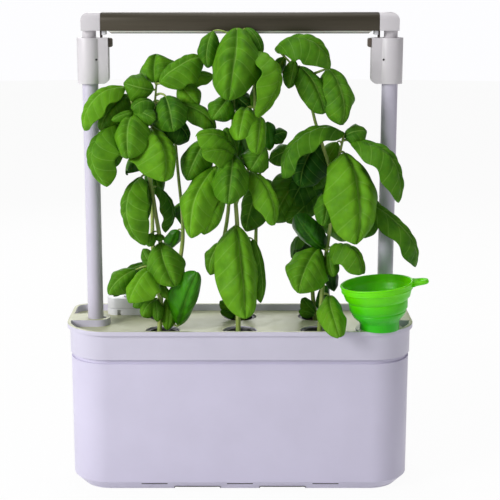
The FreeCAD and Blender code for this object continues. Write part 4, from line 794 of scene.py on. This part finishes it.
PLANTS: dict[str, Plant] = {
    "front_left": Plant.of(
        [
            [(-4, 0, 1), (-1, 0, 104), (-6, 1, 140), (-12, 2, 179), (-22, 2, 215), (-28, -5, 258)],
            [(-12, 2, 179), (-8, 1, 240), (-4, 7, 288)],
        ],
        ((-39, 6, 285), (-85, -8, 238), (-5, -6, 5), 18, 30, 0.75),
        ((-35, 10, 276), (-68, 0, 237), (-5, -8, 3), 7, 32, 0.4),
        ((-48, -2, 243), (-59, -30, 177), (-8, -6, 2), 23, 36, 0.5),
        ((-44, 2, 241), (-54, -14, 196), (-5, -8, 2), 7, 17, 0.25),
        ((-29, -9, 256), (-33, -43, 212), (1, -8, 6), 6, 36, 0.5),
        ((-7, 4, 282), (-40, -6, 291), (-1, -8, 4), 6, 28, 0.45),
        ((-6, 9, 290), (-5, 21, 322), (0, -8, 6), 2, 40, 0.55),
        ((0, 4, 289), (48, 12, 318), (-3, -7, 7), 7, 34, 0.5),
        ((23, 24, 288), (60, 30, 297), (-1, -8, 4), 4, 17, 0.7),
        ((21, 16, 288), (43, 10, 264), (3, -8, 4), 3, 24, 0.75),
        ((20, 8, 265), (63, 0, 240), (2, -8, 5), 5, 24, 0.45),
        ((6, 0, 276), (16, -26, 239), (2, -8, 6), 6, 35, 0.25),
        ((-6, -1, 267), (-31, -17, 264), (0, -7, 7), 5, 24, 0.3),
        ((-29, -6, 259), (-4, -24, 252), (0, -7, 7), 4, 18, 0.35),
        ((-28, -8, 259), (-52, -20, 251), (0, -7, 7), 4, 11, 0.4),
        ((-10, -1, 240), (8, -36, 185), (5, -9, 3), 10, 43, 0.75),
        ((3, 12, 245), (33, 8, 225), (3, -8, 4), 5, 32, 0.05),
        ((-22, -2, 185), (-18, -24, 110), (-6, -9, 2), 23, 36, 0.5),
        ((-14, 6, 181), (-17, 4, 133), (2, -9, 1), 3, 13, 0.2),
        ((-5, 3, 173), (5, 8, 119), (8, -6, 2), 11, 22, 0.2),
        ((-1, -1, 109), (16, -33, 66), (3, -9, 4), 7, 38, 0.5),
        ((-11, -3, 121), (-14, -10, 107), (0, -9, 3), 2, 12, 0.35),
        ((-9, 0, 117), (4, -4, 116), (0, -8, 6), 1, 9, 0.3),
        ((-10, -6, 81), (-36, -35, 48), (-4, -8, 5), 8, 34, 0.85),
        ((-30, 0, 78), (-61, -10, 51), (-4, -7, 5), 9, 25, 0.5),
        ((-16, 4, 50), (-34, 0, 34), (-3, -8, 4), 2, 15, 0.3),
        ((-9, 1, 81), (-22, 7, 101), (-2, -9, 2), 2, 15, 0.4),
        ((18, -4, 13), (41, -29, 82), (1, -9, 2), 3, 28, 0.5),
        ((-5, 3, 43), (-23, -13, 27), (0, -8, 6), 2, 16, 0.4),
        ((7, 4, 45), (6, -6, 8), (3, -9, 3), 3, 16, 0.6),
        ((-3, 2, 62), (12, -9, 44), (3, -8, 4), 2, 12, 0.5),
        ((-7, -4, 43), (-5, -12, 20), (-2, -9, 3), 2, 12, 0.4),
    ),
    "back_left": Plant.of(
        [
            [(-2, 0, 1), (-14, -3, 90), (-14, -7, 132), (-16, -11, 185), (-19, -19, 267)],
            [(1, 0, 1), (20, -7, 89), (22, -10, 111), (17, -15, 185), (11, -21, 267)],
        ],
        ((9, -25, 247), (23, -31, 218), (2, -9, 3), 3, 26, 0.3),
        ((-15, -3, 73), (-62, -19, 36), (-5, -4, 8), 10, 24, 0.2),
        ((-16, -5, 207), (-46, 37, 175), (-3, 6, 7), 8, 30, 0.25),
        ((19, -7, 143), (36, 31, 108), (3, 6, 7), 7, 28, 0.35),
        ((-3, -13, 266), (-1, 33, 228), (0, 6, 7), 8, 32, 0.15),
        ((-13, -16, 192), (-3, -26, 157), (2, -9, 3), 4, 20, 0.2),
        ((16, -5, 113), (1, 10, 86), (2, -8, 4), 3, 18, 0.3),
    ),
    "front_centre": Plant.of(
        [
            [(-2, 0, 1), (-3, 1, 126), (-5, 2, 157), (-8, -1, 213), (-7, 4, 270), (-3, 7, 336)],
            [(-5, 2, 157), (9, -1, 193), (16, 2, 260), (14, 5, 315)],
        ],
        ((-3, 5, 349), (-13, -37, 274), (-1, -8, 7), 12, 50, 0.5),
        ((-30, 5, 346), (-36, -3, 306), (-4, -8, 2), 6, 20, 0.3),
        ((6, 9, 349), (25, -1, 321), (6, -6, 5), 5, 22, 0.3),
        ((10, 18, 310), (0, 14, 288), (0, -8, 4), 3, 18, 0.7),
        ((17, 3, 325), (20, -33, 254), (8, -7, 2), 23, 38, 0.65),
        ((22, 12, 295), (13, 6, 262), (-2, -9, 2), 3, 14, 0.35),
        ((-13, 1, 274), (-31, -17, 252), (-2, -8, 5), 5, 27, 0.35),
        ((-8, 14, 276), (13, 8, 260), (1, -8, 4), 3, 20, 0.05),
        ((7, 1, 262), (-2, -37, 232), (-4, -8, 4), 6, 29, 0.75),
        ((21, -5, 253), (18, -43, 217), (4, -8, 2), 6, 25, 0.7),
        ((26, -4, 218), (11, -22, 195), (2, -8, 4), 4, 28, 0.35),
        ((-6, -5, 213), (-46, -33, 238), (-2, -6, 7), 6, 33, 0.6),
        ((-4, -3, 210), (-15, -10, 242), (3, -8, 4), 3, 18, 0.3),
        ((-8, -9, 209), (-41, -43, 219), (-1, -7, 7), 5, 22, 0.55),
        ((-8, -8, 210), (-13, -51, 163), (0, -8, 5), 8, 36, 0.4),
        ((-38, -2, 226), (-60, -16, 183), (-4, -9, 3), 6, 30, 0.4),
        ((-27, -5, 198), (-55, -29, 120), (-5, -9, 3), 17, 36, 0.75),
        ((-22, -9, 178), (-40, -25, 123), (1, -9, 2), 6, 34, 0.55),
        ((-5, -1, 130), (7, -45, 32), (0, -9, 3), 8, 47, 0.7),
        ((15, 4, 112), (24, -20, 44), (3, -9, 3), 4, 18, 0.35),
        ((-21, 8, 108), (-35, 2, 71), (-3, -8, 3), 5, 22, 0.55),
        ((12, -7, 193), (39, -37, 137), (4, -8, 3), 7, 28, 0.65),
    ),
    "back_centre": Plant.of(
        [
            [(-2, 0, 1), (-21, -5, 71), (-14, -7, 135), (-9, -13, 208), (0, -20, 289)],
            [(2, 0, 1), (18, -5, 91), (19, -7, 116), (25, -13, 208)],
        ],
        ((24, -15, 179), (5, -31, 116), (-2, -9, 1), 6, 36, 0.3),
        ((-7, -7, 231), (-5, 43, 189), (0, 6, 7), 8, 34, 0.2),
        ((23, -3, 172), (41, 41, 135), (3, 6, 7), 8, 30, 0.25),
        ((-2, -5, 13), (-24, -12, 28), (-1, -8, 4), 2, 12, 0.35),
        ((-5, -7, 10), (-23, -14, 17), (0, -8, 6), 2, 11, 0.15),
        ((4, -7, 11), (14, -12, 25), (0, -8, 5), 2, 11, 0.2),
        ((35, -12, 209), (32, -22, 243), (2, -9, 2), 4, 20, 0.3),
        ((32, -14, 221), (54, -20, 231), (0, -8, 5), 3, 16, 0.1),
    ),
    "front_right": Plant.of(
        [
            [(2, 0, 1), (7, -1, 78), (10, -1, 105), (15, 0, 142), (19, 1, 192), (26, 3, 226)],
            [(18, 1, 181), (-2, 5, 237), (-22, 7, 298), (-40, 9, 319)],
            [(-22, 7, 298), (9, 7, 306)],
        ],
        ((-49, 9, 325), (13, -11, 308), (6, -6, 6), 23, 36, 0.4),
        ((-23, 5, 308), (4, -17, 258), (0, -8, 5), 5, 31, 0.3),
        ((9, 7, 306), (23, -17, 245), (5, -8, 3), 11, 36, 0.4),
        ((-29, 2, 315), (-35, -4, 284), (2, -8, 4), 3, 14, 0.3),
        ((-40, 10, 318), (-48, 8, 297), (-1, -8, 4), 2, 12, 0.2),
        ((27, 2, 234), (-44, -21, 187), (-4, -5, 7), 24, 34, 0.35),
        ((-1, 14, 223), (-22, 4, 172), (0, -9, 3), 5, 38, 0),
        ((21, 16, 222), (4, 14, 193), (-1, -9, 3), 3, 20, 0.85),
        ((28, -1, 212), (39, -47, 117), (2, -9, 3), 10, 57, 0.7),
        ((65, 2, 158), (52, 0, 114), (2, -9, 2), 4, 24, 0.3),
        ((35, 1, 224), (90, -21, 159), (7, -6, 5), 26, 37, 0.35),
        ((28, 3, 230), (53, -1, 237), (1, -8, 5), 4, 27, 0.3),
        ((9, -3, 168), (4, -23, 133), (0, -9, 4), 4, 21, 0.3),
        ((7, -3, 103), (-27, -19, 145), (-3, -8, 4), 3, 27, 0.2),
        ((0, -3, 102), (-25, -39, 60), (-4, -8, 5), 10, 40, 0.5),
        ((14, -5, 101), (16, -22, 75), (1, -8, 5), 3, 17, 0.5),
        ((14, -3, 104), (48, -46, 84), (4, -6, 6), 13, 31, 0.45),
        ((13, -6, 49), (21, -63, 16), (1, -8, 5), 8, 27, 0.65),
        ((16, 10, 78), (20, 14, 48), (1, -9, 3), 2, 14, 0.1),
        ((50, -3, 158), (115, 17, 78), (7, -7, 4), 22, 30, 0.35),
    ),
    "back_right": Plant.of(
        [
            [(2, 0, 1), (-3, -3, 51), (3, -7, 125), (6, -15, 208)],
        ],
        ((5, -17, 209), (-6, -31, 164), (-1, -9, 2), 4, 34, 0.3),
        ((3, -13, 182), (25, -21, 156), (1, -9, 3), 3, 22, 0.2),
        ((3, -13, 170), (-35, -29, 126), (-3, -9, 2), 5, 28, 0.25),
        ((3, -9, 131), (54, -19, 108), (2, -9, 1), 4, 24, 0.35),
        ((4, -9, 190), (25, 39, 143), (3, 6, 7), 8, 32, 0.15),
        ((1, -5, 110), (-23, 39, 71), (-3, 6, 7), 8, 30, 0.2),
        ((-16, -14, 183), (-51, -20, 124), (-2, -9, 3), 6, 42, 0.3),
        ((6, -12, 190), (-30, -30, 146), (-3, -9, 3), 6, 38, 0.1),
        ((-20, -12, 209), (-56, -22, 198), (-1, -8, 5), 4, 24, 0.25),
        ((1, -6, 12), (-15, -12, 32), (-1, -8, 4), 2, 13, 0.2),
        ((-1, -8, 10), (-19, -14, 17), (0, -8, 6), 2, 10, 0.3),
        ((8, -5, 13), (13, -14, 48), (1, -9, 2), 3, 16, 0.15),
    ),
}


class LeafShape:
    """How every basil leaf is formed, as shares of its length or width."""

    VEINS = 6
    VEIN_SLANT = 0.22
    FINEST = 2.7 * MM
    CUP = 0.34
    LOBE = 0.115
    QUILT = 0.06
    RUFFLE = 0.06
    DROOP = 0.08
    SPREAD = 1.16
    WAVER = 0.05
    ROLL = math.radians(18.0)
    FOLD = 0.2
    SWAY = 0.07
    THICKNESS = 0.45 * MM
    BLUNT, TAPER, WIDEST = 0.5, 0.55, 0.4836
    START, LENGTH = 0.003, 0.994
    LONG_STEPS = (14, 34)
    WIDE_STEPS = (11, 20)
    CRINKLE_SCALE, CRINKLE = 34.0, 0.08
    BLOT_SCALE, BLOT = 60.0, 0.12

    @classmethod
    def half_width(cls, share: float) -> float:
        """Return a leaf's half width at a share of its length, 0.5 at its widest."""
        return 0.5 * share ** cls.BLUNT * (1.0 - share) ** cls.TAPER / cls.WIDEST

    @classmethod
    def waver(cls, share: float, across: float, phase: float) -> float:
        """Return how much wider than its even form a leaf's wavy outline is at a place."""
        return 1.0 + cls.WAVER * math.sin(2.0 * phase + 13.0 * share + 1.6 * across)

    @classmethod
    def height(cls, share: float, across: float, phase: float, fold: float) -> float:
        """Return how far a leaf's skin stands above its bent middle, in widths.

        Args:
            share: The place along the midrib, from 0 to 1.
            across: The place across the leaf, from -1 to 1.
            phase: The leaf's own offset of its ruffles.
            fold: How much lower its one half hangs than its other.

        Returns:
            The height as a share of the leaf's width.
        """
        away = abs(across)
        fullness = 2.0 * cls.half_width(share)
        cup = -(cls.CUP + fold * across) * away ** 2.2 * fullness
        lobe = cls.LOBE * math.sin(math.pi * away ** 0.7) * fullness
        wave = abs(math.sin(math.pi * cls.VEINS * (share - cls.VEIN_SLANT * away)))
        quilt = cls.QUILT * wave ** 0.7 * min(1.0, away * 4.0) * (1.0 - away ** 3) * fullness
        ruffle = cls.RUFFLE * math.sin(phase + 15.0 * share + 2.0 * across) * away ** 3
        return cup + lobe + quilt + ruffle


@dataclass
class Basil:
    """One basil plant: stems, stalks and quilted leaves."""

    hole: str
    plant: Plant
    seed: int
    stem_radius: float = 2.9 * MM
    stalk_radius: float = 1.0 * MM
    root: float = 4.0
    side_stem: float = 0.75
    stalk_taper: tuple[float, ...] = (1.25, 1.0, 0.85, 0.4)
    chance: random.Random = field(init=False)
    foot: Vector = field(init=False)

    def __post_init__(self) -> None:
        """Find the plant's foot on its sponge."""
        self.chance = random.Random(self.seed)
        low, high = ends("sponge_" + self.hole)
        self.foot = axis_foot(low, high)
        self.foot.z = high.z

    def build(self) -> None:
        """Build the plant's pieces."""
        leaves = self.leaf_form()
        piece = add_piece(f"basil_{self.hole}_leaves", leaves, Body.LID, [Finish.LEAF_TOP, Finish.LEAF_UNDER],
                          ["basil_" + self.hole], 80.0)
        smoother = piece.modifiers.new("smoother", "SUBSURF")
        smoother.levels = smoother.render_levels = 1
        wall = piece.modifiers.new("wall", "SOLIDIFY")
        wall.thickness = LeafShape.THICKNESS
        wall.offset = -1.0
        wall.material_offset = 1
        add_piece(f"basil_{self.hole}_stems", self.stem_form(), Body.LID, [Finish.STEM],
                  ["basil_" + self.hole], 60.0)

    def at(self, point: Sequence[float]) -> Vector:
        """Return a point of the plant in the frame's metres."""
        return self.foot + Vector(point) * MM

    def leaf_form(self) -> bmesh.types.BMesh:
        """Return all of the plant's leaves as thin skins with their own maps."""
        form = bmesh.new()
        chart = form.loops.layers.uv.new("chart")
        tone = form.verts.layers.float.new("tone")
        for leaf in self.plant.leaves:
            self.add_leaf(form, leaf, chart, tone)
        return form

    def add_leaf(self, form: bmesh.types.BMesh, leaf: Leaf, chart: bmesh.types.BMLayerItem,
                 tone: bmesh.types.BMLayerItem) -> None:
        """Add one leaf to a form.

        Args:
            form: The form that takes the leaf.
            leaf: The leaf's place and size.
            chart: The map layer, U along the midrib and V across it.
            tone: The layer of each leaf's lightness, partly its own tone and partly painted light and shade.
        """
        base, tip = self.at(leaf.base), self.at(leaf.tip)
        run = tip - base
        facing = Vector(leaf.facing)
        facing = (facing - run * (facing.dot(run) / run.length_squared)).normalized()
        facing.rotate(Quaternion(run, self.chance.uniform(-LeafShape.ROLL, LeafShape.ROLL)))
        across = run.cross(facing).normalized()
        rise, width = leaf.rise * MM, leaf.width * MM * LeafShape.SPREAD
        phase = self.chance.uniform(0.0, 6.28)
        fold = self.chance.uniform(-LeafShape.FOLD, LeafShape.FOLD)
        sway = self.chance.uniform(-LeafShape.SWAY, LeafShape.SWAY) * run.length
        long_steps = held(round((run.length + rise) / LeafShape.FINEST), *LeafShape.LONG_STEPS)
        wide_steps = held(2 * round(width / LeafShape.FINEST / 1.7) + 1, *LeafShape.WIDE_STEPS)
        grid = bmesh.ops.create_grid(form, x_segments=long_steps, y_segments=wide_steps, size=1.0)
        places = {}
        for vert in grid["verts"]:
            share = LeafShape.START + LeafShape.LENGTH * (vert.co.x + 1.0) / 2.0
            side = vert.co.y
            places[vert] = (share, side)
            middle = base + run * share + facing * (4.0 * rise * share * (1.0 - share))
            bend = (facing * (4.0 * rise * (1.0 - 2.0 * share)) + run).normalized()
            normal = across.cross(bend).normalized()
            reach = LeafShape.half_width(share) * width * side * LeafShape.waver(share, side, phase)
            lift = LeafShape.height(share, side, phase, fold) * width - LeafShape.DROOP * width * share ** 4
            spot = middle + across * (reach + sway * math.sin(math.pi * share)) + normal * lift
            crinkle = noise.noise(spot * LeafShape.CRINKLE_SCALE)
            vert.co = spot + normal * crinkle * width * LeafShape.CRINKLE
            # each leaf's lightness: its own tone plus painted light and shade
            vert[tone] = leaf.tone_and_light + LeafShape.BLOT * noise.noise(spot * LeafShape.BLOT_SCALE)
        faces = list({face for vert in grid["verts"] for face in vert.link_faces})
        for face in faces:
            for loop in face.loops:
                share, side = places[loop.vert]
                loop[chart].uv = (share, 0.5 + 0.5 * side)
        if faces[0].normal.dot(facing) < 0.0:
            bmesh.ops.reverse_faces(form, faces=faces)

    def nearest(self, point: Vector) -> tuple[Vector, Vector]:
        """Find the place of the stems that is nearest to a point.

        Args:
            point: The point in the frame's metres.

        Returns:
            The nearest point of a stem, and the stem's direction there.
        """
        best = None
        for stem in self.plant.stems:
            for first, last in zip(stem, stem[1:]):
                start, run = self.at(first), self.at(last) - self.at(first)
                share = held((point - start).dot(run) / run.length_squared, 0.0, 1.0)
                spot = start + run * share
                if best is None or (point - spot).length < (point - best[0]).length:
                    best = (spot, run.normalized())
        return best

    def stem_form(self) -> bmesh.types.BMesh:
        """Return the plant's stems and leaf stalks as one form of tapered tubes."""
        form = bmesh.new()
        for stem in self.plant.stems:
            points = [self.at(point) for point in stem]
            points[0] = points[0] - UP * self.root * MM
            thick = self.stem_radius * (1.0 if stem[0][2] < 5 else self.side_stem)
            radii = [thick * (1.0 - 0.5 * index / (len(points) - 1)) for index in range(len(points))]
            add_tube(form, points, radii)
        for leaf in self.plant.leaves:
            base, tip = self.at(leaf.base), self.at(leaf.tip)
            spot, along = self.nearest(base)
            reach = (base - spot).length
            facing = Vector(leaf.facing).normalized()
            under = base.lerp(tip, 0.1) + facing * (0.36 * leaf.rise - 0.5) * MM
            elbow = spot.lerp(base, 0.55) + (along + UP).normalized() * reach * 0.16
            thin = self.stalk_radius * min(1.3, 0.7 + leaf.width / 60.0)
            add_tube(form, [spot, elbow, base, under], [thin * share for share in self.stalk_taper])
        return form


@dataclass
class Pots:
    """The slotted pots and the peat sponges in them."""

    steps: int = 48
    pot_edge: float = 0.2 * MM
    taper: float = 3.0 * MM
    foot_inset: float = 0.4 * MM
    wall_inset: float = 0.3 * MM
    brow: float = 0.6 * MM
    shoulder: float = 0.8 * MM
    dimple: float = 2.4 * MM
    top_depth: float = 2.0 * MM
    grains: float = 480.0
    crumb: float = 0.5 * MM
    grit: float = 0.4

    def build(self) -> None:
        """Build each hole's pot and sponge."""
        for index, hole in enumerate(HOLES):
            refine("pot_" + hole, Body.LID, Finish.BLACK, self.pot_edge, 2)
            self.sponge(hole, index)

    def sponge(self, hole: str, seed: int) -> None:
        """Build one sponge, crumbly on top, with a dimple round the stem.

        Args:
            hole: The planting hole's name.
            seed: Moves the crumbs, so that no two sponges are alike.
        """
        low, high = ends("sponge_" + hole)
        radius, height = (high.x - low.x) / 2.0, high.z - low.z
        foot, lower = axis_foot(low, high), radius - self.taper
        profile = [(0.0, 0.0), (lower * 0.5, 0.0), (lower - self.foot_inset, 0.0)]
        profile += [(lower + (radius - lower) * share / 6.0 - self.wall_inset, height * share / 6.0)
                    for share in range(1, 6)]
        profile += [(radius - self.shoulder, height - self.brow)]
        profile += [(radius * share / 8.0, height - self.shoulder) for share in range(7, 0, -1)]
        form = spun(profile + [(0.0, height - self.dimple)], foot, self.steps)
        for vert in form.verts:
            spot = vert.co * self.grains + Vector((seed * 7.0, 0.0, 0.0))
            on_top = vert.co.z > high.z - self.top_depth
            vert.co += Vector((0.0, 0.0, noise.noise(spot) * self.crumb * on_top))
            out = Vector((vert.co.x - foot.x, vert.co.y - foot.y, 0.0))
            if out.length > 1.0 * MM:
                vert.co += out.normalized() * (noise.noise(spot * 1.3) - 0.4) * self.grit * MM
        add_piece(f"sponge_{hole}_foam", form, Body.LID, [Finish.PEAT], ["sponge_" + hole])


@dataclass
class Funnel:
    """The folding silicone funnel with its rim band and hanging loop."""

    leaning: float = math.radians(5.5)
    edge: float = 0.6 * MM
    pivot: Point = (158.4 * MM, -48.0 * MM, 203.5 * MM)
    rims: tuple[Point, ...] = (
        (40.2 * MM, 42.6 * MM, 1.3 * MM),
        (39.6 * MM, 36.4 * MM, 0.9 * MM),
    )
    loop_edge: float = 2.4 * MM
    loop_drop: float = 2.6 * MM
    loop_half: tuple[tuple[float, float], ...] = ((39.5, 13.0), (44.5, 8.6), (50.5, 6.2), (55.4, 3.4))
    loop_tip: float = 56.4

    def build(self) -> None:
        """Build the funnel."""
        refine("fill_funnel", Body.FUNNEL, Finish.SILICONE, self.edge)
        self.beads()
        self.loop()

    def lean(self, form: bmesh.types.BMesh) -> None:
        """Lean a form with the bowl and set it on the collar."""
        turn = Matrix.Rotation(-self.leaning, 3, "Y")
        bmesh.ops.rotate(form, cent=(0.0, 0.0, 0.0), matrix=turn, verts=form.verts)
        bmesh.ops.translate(form, vec=self.pivot, verts=form.verts)

    def beads(self) -> None:
        """Build the rolled beads along the top and the foot of the rim band."""
        form = bmesh.new()
        for radius, height, thick in self.rims:
            turns = (2.0 * math.pi * step / 12 for step in range(13))
            run = [(radius + thick * math.cos(turn), height + thick * math.sin(turn)) for turn in turns]
            ring = spun(run, Vector((0.0, 0.0, 0.0)), 96)
            mesh = bpy.data.meshes.new("ring")
            ring.to_mesh(mesh)
            ring.free()
            form.from_mesh(mesh)
            bpy.data.meshes.remove(mesh)
        self.lean(form)
        add_piece("funnel_rim_beads", form, Body.FUNNEL, [Finish.SILICONE])

    def loop(self) -> None:
        """Build the thick rounded edge of the hanging loop."""
        form = bmesh.new()
        height = self.rims[0][1] - self.loop_drop
        run = [*self.loop_half, (self.loop_tip, 0.0), *((x, -y) for x, y in self.loop_half[::-1])]
        points = [Vector((x * MM, y * MM, height)) for x, y in run]
        add_tube(form, points, [self.loop_edge] * len(points))
        self.lean(form)
        add_piece("funnel_loop_edge", form, Body.FUNNEL, [Finish.SILICONE])


@dataclass
class Studio:
    """The pale floor, the soft lamps and the camera."""

    focal_px: float = 1300.0
    frame_px: float = 500.0
    sensor_mm: float = 36.0
    axis_px: float = 240.0
    stand: Point = (0.0, -1.475, 0.588)
    down: float = math.radians(12.0)
    target: Point = (0.0, 0.0, 0.25)
    ambient: float = 0.22
    floor_radius: float = 6.0
    floor_glow: float = 0.95
    lamps: tuple[tuple[str, Point, float, float], ...] = (
        ("key_lamp", (-1.75, -1.3, 1.2), 0.9, 40.0),
        ("fill_lamp", (1.6, -1.0, 0.7), 1.2, 3.5),
        ("top_lamp", (0.1, 0.3, 1.9), 1.3, 10.0),
        ("back_lamp", (-0.2, 1.5, 1.0), 1.0, 9.0),
    )

    def build(self) -> None:
        """Build everything that isn't the planter."""
        self.floor()
        self.sky()
        for lamp in self.lamps:
            self.lamp(*lamp)
        self.camera()

    def floor(self) -> None:
        """Lay a wide pale floor that is white to the camera and keeps the shadow."""
        form = bmesh.new()
        bmesh.ops.create_circle(form, cap_ends=True, segments=96, radius=self.floor_radius)
        mesh = bpy.data.meshes.new("floor")
        form.to_mesh(mesh)
        form.free()
        graph = Graph("floor_paper", 0.9)
        graph.paint(graph.mix(graph.noise(0.3, 3.0), (0.86, 0.86, 0.86), (0.9, 0.9, 0.9)))
        path = graph.add("LightPath")
        seen = graph.math("MAXIMUM", path.outputs["Is Camera Ray"], path.outputs["Is Glossy Ray"])
        seen = graph.math("MAXIMUM", seen, path.outputs["Is Transmission Ray"])
        glow = graph.add("Emission", {"Color": (1.0, 1.0, 1.0, 1.0), "Strength": 1.0})
        share = graph.math("MULTIPLY", seen, self.floor_glow)
        both = graph.add("MixShader", {0: share, 1: graph.shader.outputs[0], 2: glow.outputs[0]})
        graph.link(both.outputs[0], graph.nodes["Material Output"].inputs["Surface"])
        mesh.materials.append(graph.material)
        floor = bpy.data.objects.new("floor", mesh)
        bpy.context.scene.collection.objects.link(floor)

    def sky(self) -> None:
        """Surround the scene with soft light that the camera sees as white."""
        world = bpy.data.worlds.new("studio")
        world.use_nodes = True
        bpy.context.scene.world = world
        nodes, links = world.node_tree.nodes, world.node_tree.links
        ground = nodes["Background"]
        ground.inputs["Color"].default_value = (0.985, 0.985, 1.0, 1.0)
        path = nodes.new("ShaderNodeLightPath")
        strength = nodes.new("ShaderNodeMapRange")
        strength.inputs["To Min"].default_value = self.ambient
        strength.inputs["To Max"].default_value = 1.0
        links.new(path.outputs["Is Camera Ray"], strength.inputs["Value"])
        links.new(strength.outputs["Result"], ground.inputs["Strength"])

    def lamp(self, name: str, spot: Point, size: float, power: float) -> None:
        """Hang one soft lamp that looks at the planter's middle.

        Args:
            name: The lamp's name.
            spot: Where it hangs, in metres.
            size: Its side in metres.
            power: Its power in watts.
        """
        data = bpy.data.lights.new(name, "AREA")
        data.size = size
        data.energy = power
        lamp = bpy.data.objects.new(name, data)
        lamp.location = spot
        lamp.rotation_euler = (Vector(self.target) - Vector(spot)).to_track_quat("-Z", "Y").to_euler()
        bpy.context.scene.collection.objects.link(lamp)

    def camera(self) -> None:
        """Stand the camera at the photograph's angle."""
        data = bpy.data.cameras.new("camera")
        data.sensor_width = self.sensor_mm
        data.lens = self.sensor_mm * self.focal_px / self.frame_px
        data.shift_x = (self.frame_px / 2.0 - self.axis_px) / self.frame_px
        camera = bpy.data.objects.new("camera", data)
        camera.location = self.stand
        camera.rotation_euler = (math.pi / 2.0 - self.down, 0.0, 0.0)
        bpy.context.scene.collection.objects.link(camera)
        bpy.context.scene.camera = camera


def main() -> None:
    """Build and dress the planter, then its studio."""
    logging.basicConfig(level=logging.INFO, format="%(name)s %(message)s")
    Tub().build()
    Lid().build()
    Lamp().build()
    Pots().build()
    for seed, hole in enumerate(HOLES):
        Basil(hole, PLANTS[hole], seed + 11).build()
    Funnel().build()
    Studio().build()
    bpy.context.scene.view_settings.view_transform = "Standard"


if __name__ == "__main__":
    main()
